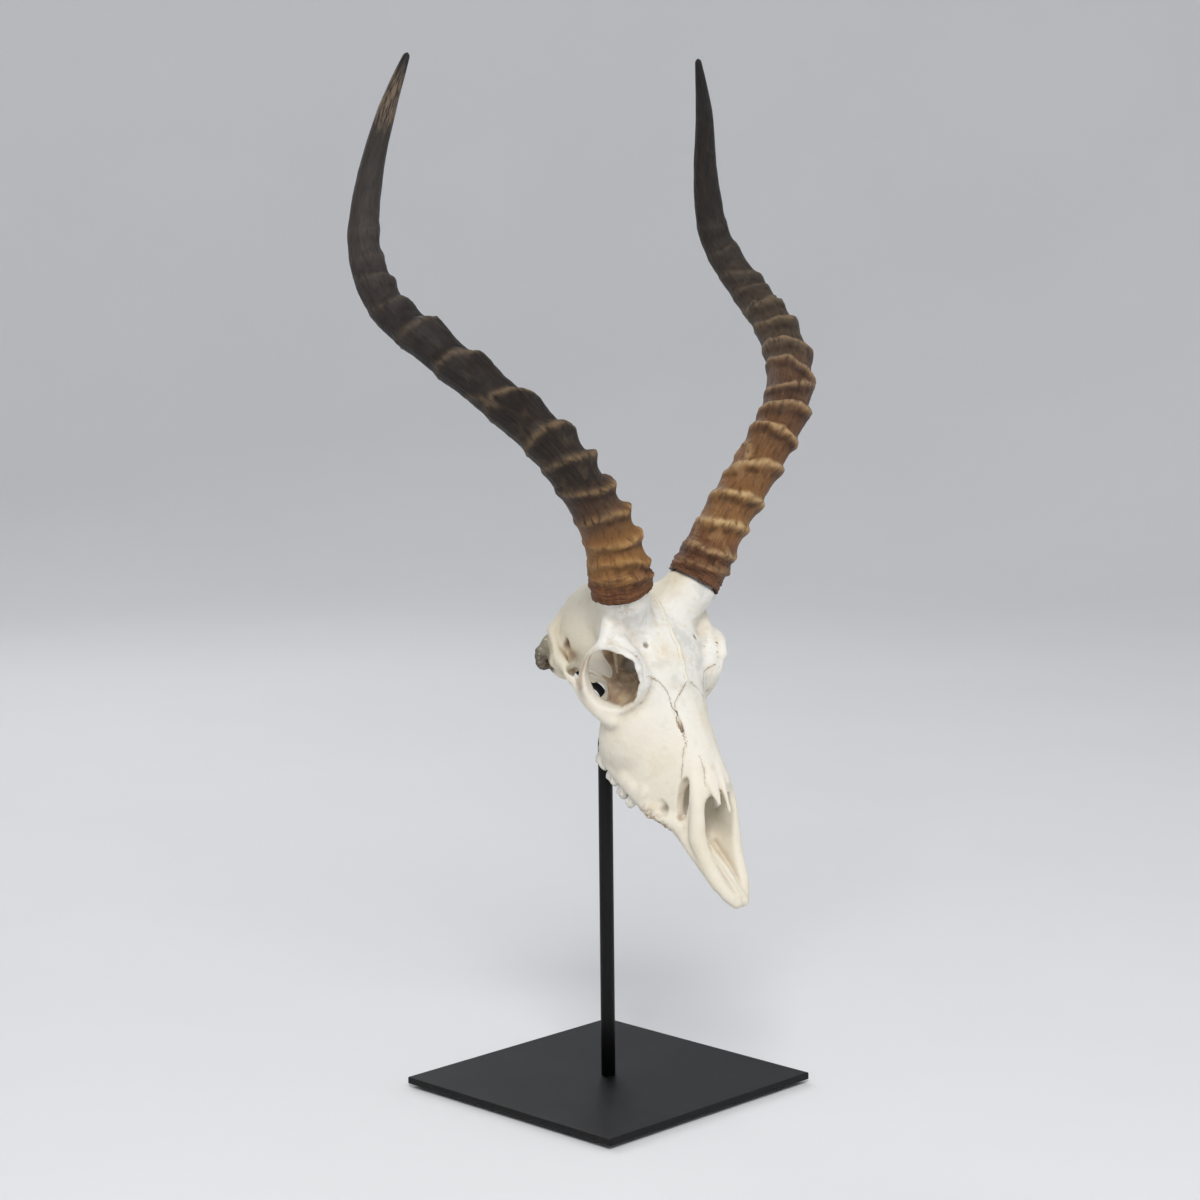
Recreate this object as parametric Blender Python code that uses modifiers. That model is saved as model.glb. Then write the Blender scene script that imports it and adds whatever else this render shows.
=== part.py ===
"""Upper skull of a male impala with both horns, held on a black steel display stand.

World frame: metres, Z up, origin in the middle of the stand's underside, muzzle towards -Y.
Skull frame: x towards the animal's left, y backwards, z up from the palate. The whole skull
frame is tilted nose down on the stand. Sizes below are in millimetres.
"""

import math

import bmesh
import bpy
from mathutils import Matrix, Vector

MM = 0.001
GAP = 0.3
SIDES = {"right": -1, "left": 1}

# Stand
PLATE_SIDE = 200.0
PLATE_THICKNESS = 5.0
PLATE_EDGE_ROUND = 0.8
PAD_SIDE = 185.0
PAD_THICKNESS = 2.0
POST_RADIUS = 5.0
POST_TOP = 253.0
POST_SHOULDER = 8.0
POST_NECK_WALL = 0.6
POST_STEPS = 24
ROD_RADIUS = 2.6
ROD_CURVE_STEPS = 2
ROD_PATH = [
    (0, 0, 253.4), (0, 0, 265), (0, 0.6, 276.5), (0, 5, 282.4), (0, 13.8, 286), (0, 24, 292),
    (0, 36, 299.8), (0, 44.6, 308), (0, 46.2, 316), (0, 41.6, 321), (0, 34.5, 321), (0, 27, 318),
]

# Place of the skull frame in the world
SKULL_ORIGIN = (0.0, 66.0, 299.4)
NOSE_DOWN = 36.4

# Bone lumps as (centre, radii, tilt): centre is lateral, forward and up, and the tilt turns the
# lump about the lateral axis, front end up
MIDLINE_LUMPS = {
    "braincase": ((0, 46, 66), (35, 41, 36), 25),
    "frontal_roof": ((0, 82, 80), (43, 44, 21), -23),
    "occiput": ((0, 23, 42), (28, 9, 20), 10),
    "skull_base": ((0, 49, 34), (15, 39, 7), 3),
    "orbit_block": ((0, 96, 66), (34, 26, 24), -10),
}
PAIRED_LUMPS = {
    "temple": ((20, 60, 90), (17, 22, 22), 0),
    "squama": ((27, 36, 40), (7, 13, 13), 0),
    "bulla": ((18, 34, 25), (8, 12, 8), 0),
    "condyle": ((13, 16, 27), (8.5, 8.5, 8.5), 0),
    "cheek": ((32, 114, 38), (9, 15, 21), 15),
}
LUMP_SEGMENTS = 28
LUMP_RINGS = 18

# Bone bars as a list of (lateral, forward, up, radius)
PAIRED_BARS = {
    "pedicle": [(23, 66, 92, 18), (29, 62, 108, 18), (34, 61, 117, 17), (39, 59, 127, 15)],
    "brow": [(42, 75, 94, 7), (41, 86, 91, 7), (38, 96, 88, 7.5), (33, 105, 81, 6.5)],
    "brow_edge": [(51.5, 79, 88, 3.4), (49, 87, 91.6, 3.6), (46.4, 96, 92.6, 3.6), (42.6, 104, 90, 3.6)],
    "tear_bone": [(34, 109, 78, 5.5), (33.5, 110, 68, 5.5), (35, 108, 58, 6), (40, 103, 52, 6)],
    "cheek_arch": [
        (41, 108, 47, 6), (46.5, 96, 47, 5.5), (50, 84, 48.5, 4.8), (50.5, 75, 50, 4),
        (49.5, 66, 49.6, 3.8), (46.5, 57, 49, 3.9), (41, 48, 44.5, 4.4), (35, 42, 42, 4.8),
    ],
    "bar_behind_orbit": [
        (43, 65.5, 102, 4.8), (47, 73.5, 94, 4.8), (52, 77.5, 86, 4.2), (54.5, 77.5, 77, 3.6),
        (54.5, 79, 66, 3.6), (53, 84, 56, 4.2),
    ],
    "mastoid_process": [(28, 25, 38, 7), (28, 24, 28, 6.2), (27, 26, 20.5, 4.4)],
    "mastoid_foot": [(29, 33, 34, 5), (30, 37, 33, 4.6), (31, 42, 35, 4)],
    "nuchal_crest": [(30, 21.5, 48, 3.2), (24, 18, 59, 3.2), (12, 14.5, 67.5, 3.2), (0, 13, 70, 3.2)],
    "side_crest": [(30, 21, 49, 3.2), (32.5, 26, 47.5, 3), (34.5, 32.5, 45.5, 3), (37, 40, 42.5, 3.2)],
    "pterygoid": [(11, 74, 30, 4), (12, 84, 22, 4), (14, 94, 13, 4.5), (17, 103, 9, 5)],
    "tooth_ridge": [
        (23, 106, 14, 7), (24.5, 118, 12.5, 7.5), (24.5, 136, 11.5, 7.5), (23.5, 148, 8.5, 6.6),
        (22, 160, 8.6, 6.2), (20.5, 171, 10.5, 6), (18, 182, 13.5, 5.6),
    ],
    "premaxilla": [
        (11.5, 160, 50, 3.6), (14.5, 174, 41, 4.4), (16, 186, 31, 5.2), (16.3, 197, 17, 6.4),
        (14.4, 209, 9, 5.6), (12.2, 222, 3, 5), (8, 234, -2, 5), (3, 243.4, -4.4, 4.8),
    ],
    "palate_rail": [(17, 178, 13, 6), (15, 196, 7, 5), (13.5, 212, 3, 4), (12, 226, 0, 3.8)],
    "nasal_plate": [(5, 160, 55, 4.4), (5.4, 172, 51.6, 3.8), (5.4, 181, 48.8, 3)],
}
# Bars on one side only, with the side in the sign of the lateral place
SINGLE_BARS = {
    "right_nasal_tip": [(-6, 166, 52.5, 3.8), (-6.8, 178, 49, 3.2), (-7.7, 191, 43.8, 2.2)],
    "left_nasal_tip": [(3.6, 168, 53.2, 3.6), (0.8, 182, 49.6, 2.8), (-1.6, 198, 41.6, 2.2)],
}
# Openings cut as bars: the gap through which one sees past the eye socket, under the skull base
PAIRED_CUTS = {
    "sight_gap": [(46, 89, 59, 3), (36, 83, 51, 5), (22, 74, 39, 5.5), (8, 63, 27, 5), (0, 58, 19, 5)],
}

# Ring of bone round each eye socket: angle from straight ahead, radius of the edge, half width of
# the band round it
ORBIT_CENTRE = (47.4, 95.5, 74)
ORBIT_FACING = (0.921, 0.39, 0.0)
ORBIT_OUTLINE = [
    (4, 18.9, 1.8), (42, 18.6, 1.8), (66, 20.8, 1.8), (84, 20.9, 1.8), (108, 19.4, 1.8), (143, 21.0, 1.9),
    (167, 21.3, 2.0), (192, 19.3, 2.4), (225, 18.9, 3.9), (256, 19.6, 4.6), (285, 20.6, 3.6),
    (312, 21.8, 2.0), (340, 20.6, 1.8),
]
ORBIT_SETBACK = 2.2
ORBIT_BAND_RISE = 0.4
ORBIT_BAND_DEPTH = 1.25
ORBIT_HOLLOW_RADIUS = 19.8
ORBIT_DEPTH = 29.0
ORBIT_STEPS = 32
ORBIT_SIDES = 10

# Half outlines of the face and muzzle: forward position, then (lateral, up) from palate to top
FACE_SECTIONS = [
    (84, [(0, 20), (12, 22), (22, 38), (33, 54), (38, 78), (24, 96), (0, 103)]),
    (102, [(0, 9), (24, 7), (31, 22), (35, 44), (35, 70), (20, 90), (0, 96)]),
    (120, [(0, 8), (28, 5), (32, 20), (33, 40), (29, 60), (17, 78), (0, 83)]),
    (137, [(0, 8), (28, 5), (31, 20), (29, 38), (23, 54), (13, 69), (0, 73.5)]),
    (154, [(0, 8), (24, 6), (27, 18), (25, 34), (20, 49), (11, 61), (0, 64.5)]),
    (170, [(0, 8), (20, 8), (21.5, 18), (20.5, 32), (17, 44), (9.5, 53), (0, 56)]),
    (182, [(0, 6), (18, 8), (19, 17), (18.5, 28), (15.5, 39), (9, 46.5), (0, 49.5)]),
    (193, [(0, 4), (16, 6), (17.5, 12), (17, 19), (14, 25), (8, 28), (0, 29)]),
]
FLOOR_SECTIONS = [
    (174, [(0, 2), (12, 3), (13, 6), (12, 9), (0, 9.5)]),
    (194, [(0, -2.5), (11, -1), (12.5, 1.5), (11, 4), (0, 4.5)]),
    (210, [(0, -3.5), (10, -2.5), (11.5, 0), (10, 2.5), (0, 3.5)]),
    (224, [(0, -5), (8, -4), (9.5, -2), (8, 1), (0, 2.5)]),
    (238, [(0, -7.5), (3, -6.5), (4, -4), (3, -1.5), (0, -0.5)]),
]
# The same for the hollow inside the nose, open at the front
NOSE_HOLLOW_SECTIONS = [
    (140, [(0, 30), (6, 32), (9, 38), (9, 44), (7, 50), (4, 54), (0, 55)]),
    (162, [(0, 16), (9, 18), (13, 26), (13, 34), (11, 42), (6, 49), (0, 50)]),
    (180, [(0, 10.5), (10, 11), (14, 18), (14, 28), (12.5, 35), (9, 42), (0, 44)]),
    (192, [(0, 6.5), (9, 8), (13, 14), (14, 24), (14, 32), (10, 41), (0, 42)]),
    (208, [(0, 5), (7, 5), (10, 9), (12, 20), (12, 32), (8, 40), (0, 41)]),
    (222, [(0, 3.5), (5, 3.5), (7, 5), (8, 14), (9, 26), (7, 34), (0, 35)]),
    (234, [(0, 0), (2, 0), (3.5, 1), (5, 9), (6, 18), (5, 26), (0, 27)]),
]
OUTLINE_STEPS = 3
SECTION_STEPS = 2

# Other hollows, as lumps
PAIRED_HOLLOWS = {
    "temple_gap": ((45, 65, 62), (8, 8.5, 17), 0),
    "cheek_gap": ((40, 76, 34), (10, 18, 14), 20),
    "muzzle_window": ((19, 173.5, 31), (6, 5, 15), 28),
}
MIDLINE_HOLLOWS = {
    "brain_hollow": ((0, 38, 60), (24, 30, 24), 25),
    "rear_opening": ((0, 12, 34), (8.5, 18, 8), -12),
    "throat": ((0, 84, 14), (10, 24, 12), 15),
}

BONE_VOXEL = 2.2
BONE_SOFTNESS = 0.5
BONE_SMOOTHING = 3
BONE_WEAR = 2
BONE_KEPT = 0.08

# Horns: middle line from the base rim to the tip, in the world
HORN_PATHS = {
    "right": [
        (-36, -54, 360), (-56, -62, 400), (-85, -66, 435), (-115, -62, 468), (-144, -44, 498),
        (-164, -15, 526), (-173, 21, 552), (-169, 47, 589), (-160, 51, 633), (-151, 43, 677),
        (-136, 35.5, 719),
    ],
    "left": [
        (36, -54, 363.5), (58, -62, 402), (86, -66, 437), (117, -62, 469), (145, -43, 499),
        (164, -13, 526), (173, 22, 553), (168, 48, 589), (161, 51, 633), (151, 43, 677),
        (136, 35.5, 719),
    ],
}
HORN_RIM = {"right": 1.5, "left": -5.0}
HORN_LINE_LEAD = 8.0
HORN_SEAT_DEPTH = 12.0
HORN_WALL = 3.5
# (distance along the middle line, radius along the long way of the section, radius across it)
HORN_GIRTH = [
    (-5, 21.5, 19.5), (0, 21.5, 19.2), (20, 20.5, 17.5), (45, 18.0, 16.6), (75, 16.5, 16.6),
    (110, 16.0, 16.0), (150, 14.6, 16.3), (200, 13.4, 15.6), (250, 12.9, 13.6),
    (300, 11.9, 11.9), (340, 9.7, 10.2), (375, 7.7, 7.9), (410, 5.9, 6.0), (435, 3.7, 3.6),
    (449, 2.0, 2.0),
]
# Growth rings: distance along the horn at the front, on the outer side and behind, and height
HORN_RINGS = {
    "right": [
        (9, 20, 14, 2.6), (19, 33, 27, 2.6), (40, 48, 47, 4.0), (59, 72, 69, 5.0), (81, 95, 98, 5.4),
        (105, 122, 117, 5.6), (129, 147, 136, 5.2), (160, 179, 170, 4.4), (200, 215, 212, 4.6),
        (237, 244, 246, 4.0), (264, 268, 273, 2.8), (289, 290, 295, 2.4), (309, 307, 310, 1.3),
        (331, 328, 330, 0.9),
    ],
    "left": [
        (4, 4, 12, 2.4), (16.5, 16, 22, 3.2), (37, 32.5, 39, 4.0), (57.5, 51.5, 57, 4.4), (81, 71, 82, 4.4),
        (111, 113, 117, 5.0), (130.5, 127.6, 135, 5.2), (149, 150.5, 163, 3.0), (175, 181, 170, 3.8),
        (195, 203, 198.5, 3.8), (218, 228, 233, 3.6), (239, 250, 256, 3.2), (262, 268, 266, 1.6),
        (279, 288, 281, 2.4), (302, 304, 306, 1.6), (324, 326, 328, 0.9),
    ],
}
# Angle of the strongest side of the rings, the share of their height on the weakest, and how
# fast the height falls between them
RING_PEAK = {"right": -12.0, "left": 38.0}
RING_WEAK = 0.24
RING_FALL = 1.3
RING_SINK = 1.2
RING_SINK_FADE = (290.0, 345.0)
# Rows of points from one ring to the next: share of the way, and share of the next ring's height
RING_ROWS = [(0.34, 0.0), (0.70, 0.4), (1.0, 1.05)]
HORN_TIP_ROWS = [345, 358, 372, 386, 399, 411, 422, 432, 441, 449]
HORN_CURVE_STEPS = 16
HORN_SIDES = 14
# Makes the flat-sided horn as wide on average as a round one
FACET_GROW = 1.014
HORN_FACING = (0.70, 0.70, -0.14)

# Cheek teeth: name, forward position of the middle, length along the row, width, biting edge
TEETH = [
    ("m3", 107.0, 13.5, 10.0, 0.0),
    ("m2", 121.0, 13.0, 10.5, -2.0),
    ("m1", 133.2, 10.0, 10.5, -3.5),
    ("p4", 142.6, 7.5, 9.5, -4.0),
]
TOOTH_LATERAL = 24.0
TOOTH_ROOT_TOP = 13.0
TOOTH_SIDES = 10
TOOTH_WAIST = 0.16
# Levels of a tooth: height over the biting edge and share of the full width
TOOTH_LEVELS = [(0.0, 0.86), (1.6, 1.0), (6.5, 0.98)]
TOOTH_ROOT_SHARE = 0.82


def clear_scene():
    for item in list(bpy.data.objects):
        bpy.data.objects.remove(item, do_unlink=True)


def new_collection(name, hidden=False):
    group = bpy.data.collections.new(name)
    bpy.context.scene.collection.children.link(group)
    group.hide_render = hidden
    return group


def material(name, colour, roughness, metallic=0.0):
    finish = bpy.data.materials.new(name)
    finish.use_nodes = True
    shader = finish.node_tree.nodes["Principled BSDF"]
    shader.inputs["Base Color"].default_value = (*colour, 1.0)
    shader.inputs["Roughness"].default_value = roughness
    shader.inputs["Metallic"].default_value = metallic
    return finish


def mesh_object(name, bm, group, finish=None):
    mesh = bpy.data.meshes.new(name)
    bm.to_mesh(mesh)
    bm.free()
    item = bpy.data.objects.new(name, mesh)
    group.objects.link(item)
    if finish:
        mesh.materials.append(finish)
        mesh.shade_smooth()
        mesh.set_sharp_from_angle(angle=math.radians(40))
    return item


def as_cutter(item):
    item.hide_render = True
    item.display_type = "WIRE"
    return item


def skull_point(side, lateral, forward, up):
    return Vector((side * lateral, -forward, up)) * MM


def add_lump(bm, side, centre, radii, tilt):
    place = Matrix.Translation(skull_point(side, *centre))
    turn = Matrix.Rotation(math.radians(-tilt), 4, "X")
    size = Matrix.Diagonal((*[radius * MM for radius in radii], 1.0))
    bmesh.ops.create_uvsphere(bm, u_segments=LUMP_SEGMENTS, v_segments=LUMP_RINGS, radius=1.0,
                              matrix=place @ turn @ size)


def add_bar(bm, side, points):
    """A round bar whose radius changes along a smooth curve through its points."""
    curve = bpy.data.curves.new("bar", "CURVE")
    curve.dimensions = "3D"
    curve.bevel_depth = MM
    curve.bevel_resolution = 3
    curve.use_fill_caps = True
    curve.resolution_u = 5
    spline = curve.splines.new("BEZIER")
    spline.bezier_points.add(len(points) - 1)
    for knot, (lateral, forward, up, radius) in zip(spline.bezier_points, points):
        knot.co = skull_point(side, lateral, forward, up)
        knot.radius = radius
        knot.handle_left_type = knot.handle_right_type = "AUTO"
    carrier = bpy.data.objects.new("bar", curve)
    bpy.context.scene.collection.objects.link(carrier)
    graph = bpy.context.evaluated_depsgraph_get()
    mesh = bpy.data.meshes.new_from_object(carrier.evaluated_get(graph))
    bpy.data.objects.remove(carrier)
    part = bmesh.new()
    part.from_mesh(mesh)
    bmesh.ops.remove_doubles(part, verts=part.verts, dist=0.00001)
    bmesh.ops.recalc_face_normals(part, faces=part.faces)
    part.to_mesh(mesh)
    part.free()
    bm.from_mesh(mesh)
    bpy.data.meshes.remove(mesh)


def add_loft(bm, rings):
    """Skin a row of closed rings of equal length and close both ends."""
    rows = [[bm.verts.new(point) for point in ring] for ring in rings]
    count = len(rows[0])
    faces = [bm.faces.new(list(reversed(rows[0]))), bm.faces.new(rows[-1])]
    for low, high in zip(rows, rows[1:]):
        for i in range(count):
            j = (i + 1) % count
            faces.append(bm.faces.new((low[i], low[j], high[j], high[i])))
    bmesh.ops.recalc_face_normals(bm, faces=faces)


def smooth_value(before, start, end, after, share):
    """Cubic curve through four values in a row, read between the middle two."""
    rise = (end - before) / 2
    fall = (after - start) / 2
    bend = 2 * start - 2 * end + rise + fall
    return start + share * (rise + share * (3 * (end - start) - 2 * rise - fall + share * bend))


def smooth_row(rows, steps):
    """More rows of numbers between the given ones, on a smooth curve through them."""
    result = []
    for i in range(len(rows) - 1):
        near = [rows[max(i - 1, 0)], rows[i], rows[i + 1], rows[min(i + 2, len(rows) - 1)]]
        for step in range(steps):
            result.append([smooth_value(*four, step / steps) for four in zip(*near)])
    result.append(list(rows[-1]))
    return result


def section_rings(sections):
    """Closed rings of a mirrored half outline, with the corners rounded."""
    rows = []
    for forward, half in sections:
        outline = smooth_row(half, OUTLINE_STEPS)
        rows.append([forward] + [value for point in outline for value in point])
    rings = []
    for row in smooth_row(rows, SECTION_STEPS):
        half = list(zip(row[1::2], row[2::2]))
        right = [skull_point(1, lateral, row[0], up) for lateral, up in half]
        left = [skull_point(-1, lateral, row[0], up) for lateral, up in half[-2:0:-1]]
        rings.append(right + left)
    return rings


def orbit_ways(side):
    """The way an eye socket faces, the way ahead in its plane, and the way up in its plane."""
    facing = Vector((side * ORBIT_FACING[0], -ORBIT_FACING[1], ORBIT_FACING[2])).normalized()
    ahead = facing.cross(Vector((0, 0, 1))).normalized()
    if ahead.y > 0:
        ahead.negate()
    upward = facing.cross(ahead)
    if upward.z < 0:
        upward.negate()
    return facing, ahead, upward


def orbit_edge(angle):
    """Radius of the eye socket's edge and half width of its band at an angle in degrees."""
    first, last = ORBIT_OUTLINE[0], ORBIT_OUTLINE[-1]
    table = [(last[0] - 360, *last[1:])] + ORBIT_OUTLINE + [(first[0] + 360, *first[1:])]
    for near, far in zip(table, table[1:]):
        if angle <= far[0]:
            share = (angle - near[0]) / (far[0] - near[0])
            return [a + (b - a) * share for a, b in zip(near[1:], far[1:])]
    return list(last[1:])


def add_orbit_ring(bm, side):
    facing, ahead, upward = orbit_ways(side)
    centre = skull_point(side, *ORBIT_CENTRE)
    rows = []
    for i in range(ORBIT_STEPS):
        angle = 2 * math.pi * i / ORBIT_STEPS
        out = ahead * math.cos(angle) + upward * math.sin(angle)
        edge, band = orbit_edge(math.degrees(angle))
        middle = centre + (out * (edge + band) - facing * (ORBIT_SETBACK - ORBIT_BAND_RISE * band)) * MM
        ring = []
        for j in range(ORBIT_SIDES):
            lean = 2 * math.pi * j / ORBIT_SIDES
            spread = out * math.cos(lean) + facing * math.sin(lean) * ORBIT_BAND_DEPTH
            ring.append(bm.verts.new(middle + spread * band * MM))
        rows.append(ring)
    faces = []
    for i in range(ORBIT_STEPS):
        low, high = rows[i], rows[(i + 1) % ORBIT_STEPS]
        for j in range(ORBIT_SIDES):
            k = (j + 1) % ORBIT_SIDES
            faces.append(bm.faces.new((low[j], low[k], high[k], high[j])))
    bmesh.ops.recalc_face_normals(bm, faces=faces)


def add_orbit_hollow(bm, side):
    """The eye socket: a bowl that opens along the way the eye faces."""
    facing = orbit_ways(side)[0]
    turn = facing.to_track_quat("Z", "Y").to_matrix().to_4x4()
    place = Matrix.Translation(skull_point(side, *ORBIT_CENTRE))
    radius = ORBIT_HOLLOW_RADIUS * MM
    size = Matrix.Diagonal((radius, radius, ORBIT_DEPTH * MM, 1.0))
    bmesh.ops.create_uvsphere(bm, u_segments=LUMP_SEGMENTS, v_segments=LUMP_RINGS, radius=1.0,
                              matrix=place @ turn @ size)


def skull_bone(group):
    bm = bmesh.new()
    for centre, radii, tilt in MIDLINE_LUMPS.values():
        add_lump(bm, 1, centre, radii, tilt)
    for side in SIDES.values():
        for centre, radii, tilt in PAIRED_LUMPS.values():
            add_lump(bm, side, centre, radii, tilt)
        for points in PAIRED_BARS.values():
            add_bar(bm, side, points)
        add_orbit_ring(bm, side)
    for points in SINGLE_BARS.values():
        add_bar(bm, 1, points)
    add_loft(bm, section_rings(FACE_SECTIONS))
    add_loft(bm, section_rings(FLOOR_SECTIONS))
    return mesh_object("skull", bm, group)


def skull_hollows(group):
    """Cutters for the hollows of the bone, each a closed body that may overlap the next."""
    cutters = []
    for name, (centre, radii, tilt) in MIDLINE_HOLLOWS.items():
        bm = bmesh.new()
        add_lump(bm, 1, centre, radii, tilt)
        cutters.append(mesh_object(name, bm, group))
    bm = bmesh.new()
    add_loft(bm, section_rings(NOSE_HOLLOW_SECTIONS))
    cutters.append(mesh_object("nose_hollow", bm, group))
    for word, side in SIDES.items():
        for name, (centre, radii, tilt) in PAIRED_HOLLOWS.items():
            bm = bmesh.new()
            add_lump(bm, side, centre, radii, tilt)
            cutters.append(mesh_object(f"{name}_{word}", bm, group))
        for name, points in PAIRED_CUTS.items():
            bm = bmesh.new()
            add_bar(bm, side, points)
            cutters.append(mesh_object(f"{name}_{word}", bm, group))
        bm = bmesh.new()
        add_orbit_hollow(bm, side)
        cutters.append(mesh_object(f"orbit_hollow_{word}", bm, group))
    return [as_cutter(cutter) for cutter in cutters]


def horn_line(name):
    """Points and distances along a horn, carried on a little below its first point."""
    path = [Vector(point) for point in HORN_PATHS[name]]
    path.insert(0, path[0] + (path[0] - path[1]).normalized() * HORN_LINE_LEAD)
    points = [Vector(row) for row in smooth_row(path, HORN_CURVE_STEPS)]
    distances = [-HORN_LINE_LEAD]
    for near, far in zip(points, points[1:]):
        distances.append(distances[-1] + (far - near).length)
    return points, distances


def along(points, distances, distance):
    """Place and direction at a distance along a line of points."""
    for i in range(1, len(points)):
        if distances[i] >= distance or i == len(points) - 1:
            share = (distance - distances[i - 1]) / (distances[i] - distances[i - 1])
            before = points[max(i - 2, 0)]
            after = points[min(i + 1, len(points) - 1)]
            return points[i - 1].lerp(points[i], share), (after - before).normalized()
    return points[-1], (points[-1] - points[-2]).normalized()


def girth(distance):
    for near, far in zip(HORN_GIRTH, HORN_GIRTH[1:]):
        if distance <= far[0]:
            share = max(0.0, (distance - near[0]) / (far[0] - near[0]))
            return [a + (b - a) * share for a, b in zip(near[1:], far[1:])]
    return list(HORN_GIRTH[-1][1:])


def ring_line(ring, angle):
    """Distance along the horn at which a slanted ring crosses an angle round it."""
    front, outer, behind = ring[:3]
    turn = (behind - front) / 2
    return front + turn * (1 - math.cos(angle)) - (outer - front - turn) * math.sin(angle)


def horn_rows(name):
    """Rows of (distance, lift) round the horn: the rim, three to each ring, then to the tip."""
    angles = [2 * math.pi * i / HORN_SIDES for i in range(HORN_SIDES)]
    strong = [0.5 + 0.5 * math.cos(angle - math.radians(RING_PEAK[name])) for angle in angles]
    shares = [RING_WEAK + (1 - RING_WEAK) * value ** RING_FALL for value in strong]
    rows = []
    before = [HORN_RIM[name]] * HORN_SIDES
    for ring in HORN_RINGS[name]:
        line = [ring_line(ring, angle) for angle in angles]
        for way, height in RING_ROWS:
            row = []
            for near, far, share in zip(before, line, shares):
                distance = near + (far - near) * way
                fade = (RING_SINK_FADE[1] - distance) / (RING_SINK_FADE[1] - RING_SINK_FADE[0])
                sink = RING_SINK * min(1.0, max(0.0, fade))
                row.append((distance, share * (ring[3] * height - sink)))
            rows.append(row)
        before = line
    return rows + [[(distance, 0.0)] * HORN_SIDES for distance in HORN_TIP_ROWS]


def horn_ring(name, row, grow=0.0):
    """One ring of points round the horn, from the distance and lift at each angle."""
    side = SIDES[name]
    points, distances = horn_line(name)
    ring = []
    for i, (distance, lift) in enumerate(row):
        angle = 2 * math.pi * i / HORN_SIDES
        middle, way = along(points, distances, distance)
        facing = Vector((HORN_FACING[0] * -side, HORN_FACING[1], HORN_FACING[2]))
        front = facing.cross(way).normalized() * -side
        across = way.cross(front).normalized()
        long_radius, cross_radius = girth(distance)
        reach = grow + lift
        out = front * math.cos(angle) * (long_radius + reach)
        out += across * math.sin(angle) * (cross_radius + reach)
        ring.append((middle + out * FACET_GROW) * MM)
    return ring


def horn_body(bm, name, grow=0.0):
    """A horn sheath with a shallow seat at its base that fits over the bony stump."""
    rim = HORN_RIM[name]
    wall = -(HORN_WALL + grow * 2)
    rings = [
        horn_ring(name, [(rim + HORN_SEAT_DEPTH - grow, wall)] * HORN_SIDES),
        horn_ring(name, [(rim - grow, wall)] * HORN_SIDES),
        horn_ring(name, [(rim - grow, 0.0)] * HORN_SIDES, grow),
    ]
    rings += [horn_ring(name, row, grow) for row in horn_rows(name)]
    add_loft(bm, rings)


def horn(name, group, finish):
    bm = bmesh.new()
    horn_body(bm, name)
    return mesh_object(f"horn_{name}", bm, group, finish)


def tooth_body(bm, side, forward, length, width, edge, grow=0.0):
    """A two-lobed cheek tooth, from its biting edge up into its socket."""
    levels = [(edge + height, share) for height, share in TOOTH_LEVELS]
    levels.append((TOOTH_ROOT_TOP, TOOTH_ROOT_SHARE))
    rings = []
    for i, (up, share) in enumerate(levels):
        if i in (0, len(levels) - 1):
            up += grow * (1 if i else -1)
        ring = []
        for j in range(TOOTH_SIDES):
            angle = 2 * math.pi * j / TOOTH_SIDES
            waist = 1 - TOOTH_WAIST * math.sin(angle) ** 4
            lateral = (width / 2 * share * waist + grow) * math.sin(angle)
            onward = (length / 2 * share + grow) * math.cos(angle)
            ring.append(skull_point(side, TOOTH_LATERAL + lateral, forward + onward, up))
        rings.append(ring)
    add_loft(bm, rings)


def cut(target, cutter, solver="EXACT"):
    step = target.modifiers.new(cutter.name, "BOOLEAN")
    step.operation = "DIFFERENCE"
    step.solver = solver
    step.object = cutter


def skull(group, cutters, finish, frame):
    bone = skull_bone(group)
    bone.data.materials.append(finish)
    grown = bone.modifiers.new("grow_together", "REMESH")
    grown.mode = "VOXEL"
    grown.voxel_size = BONE_VOXEL * MM
    soft = bone.modifiers.new("soften", "SMOOTH")
    soft.factor = BONE_SOFTNESS
    soft.iterations = BONE_SMOOTHING
    for cutter in skull_hollows(cutters):
        cut(bone, cutter)
        cutter.parent = frame
    settled = bone.modifiers.new("settle", "REMESH")
    settled.mode = "VOXEL"
    settled.voxel_size = BONE_VOXEL * MM
    worn = bone.modifiers.new("wear_edges", "SMOOTH")
    worn.factor = BONE_SOFTNESS
    worn.iterations = BONE_WEAR
    fewer = bone.modifiers.new("fewer_faces", "DECIMATE")
    fewer.ratio = BONE_KEPT
    for word, side in SIDES.items():
        for name, *shape in TEETH:
            bm = bmesh.new()
            tooth_body(bm, side, *shape, grow=GAP)
            socket = as_cutter(mesh_object(f"socket_{word}_{name}", bm, cutters))
            socket.parent = frame
            cut(bone, socket, "MANIFOLD")
        bm = bmesh.new()
        horn_body(bm, word, grow=GAP)
        seat = as_cutter(mesh_object(f"horn_seat_{word}", bm, cutters))
        cut(bone, seat, "MANIFOLD")
    bone.parent = frame
    return bone


def teeth(group, finish, frame):
    for word, side in SIDES.items():
        for name, *shape in TEETH:
            bm = bmesh.new()
            tooth_body(bm, side, *shape)
            tooth = mesh_object(f"tooth_{word}_{name}", bm, group, finish)
            tooth.parent = frame


def slab(name, side, thickness, bottom, group, finish, edge_round=0.0):
    bm = bmesh.new()
    bmesh.ops.create_cube(bm, size=1.0)
    bmesh.ops.scale(bm, verts=bm.verts, vec=Vector((side, side, thickness)) * MM)
    item = mesh_object(name, bm, group, finish)
    item.location = (0, 0, (bottom + thickness / 2) * MM)
    if edge_round:
        bevel = item.modifiers.new("edge_round", "BEVEL")
        bevel.width = edge_round * MM
        bevel.segments = 2
    return item


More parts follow.
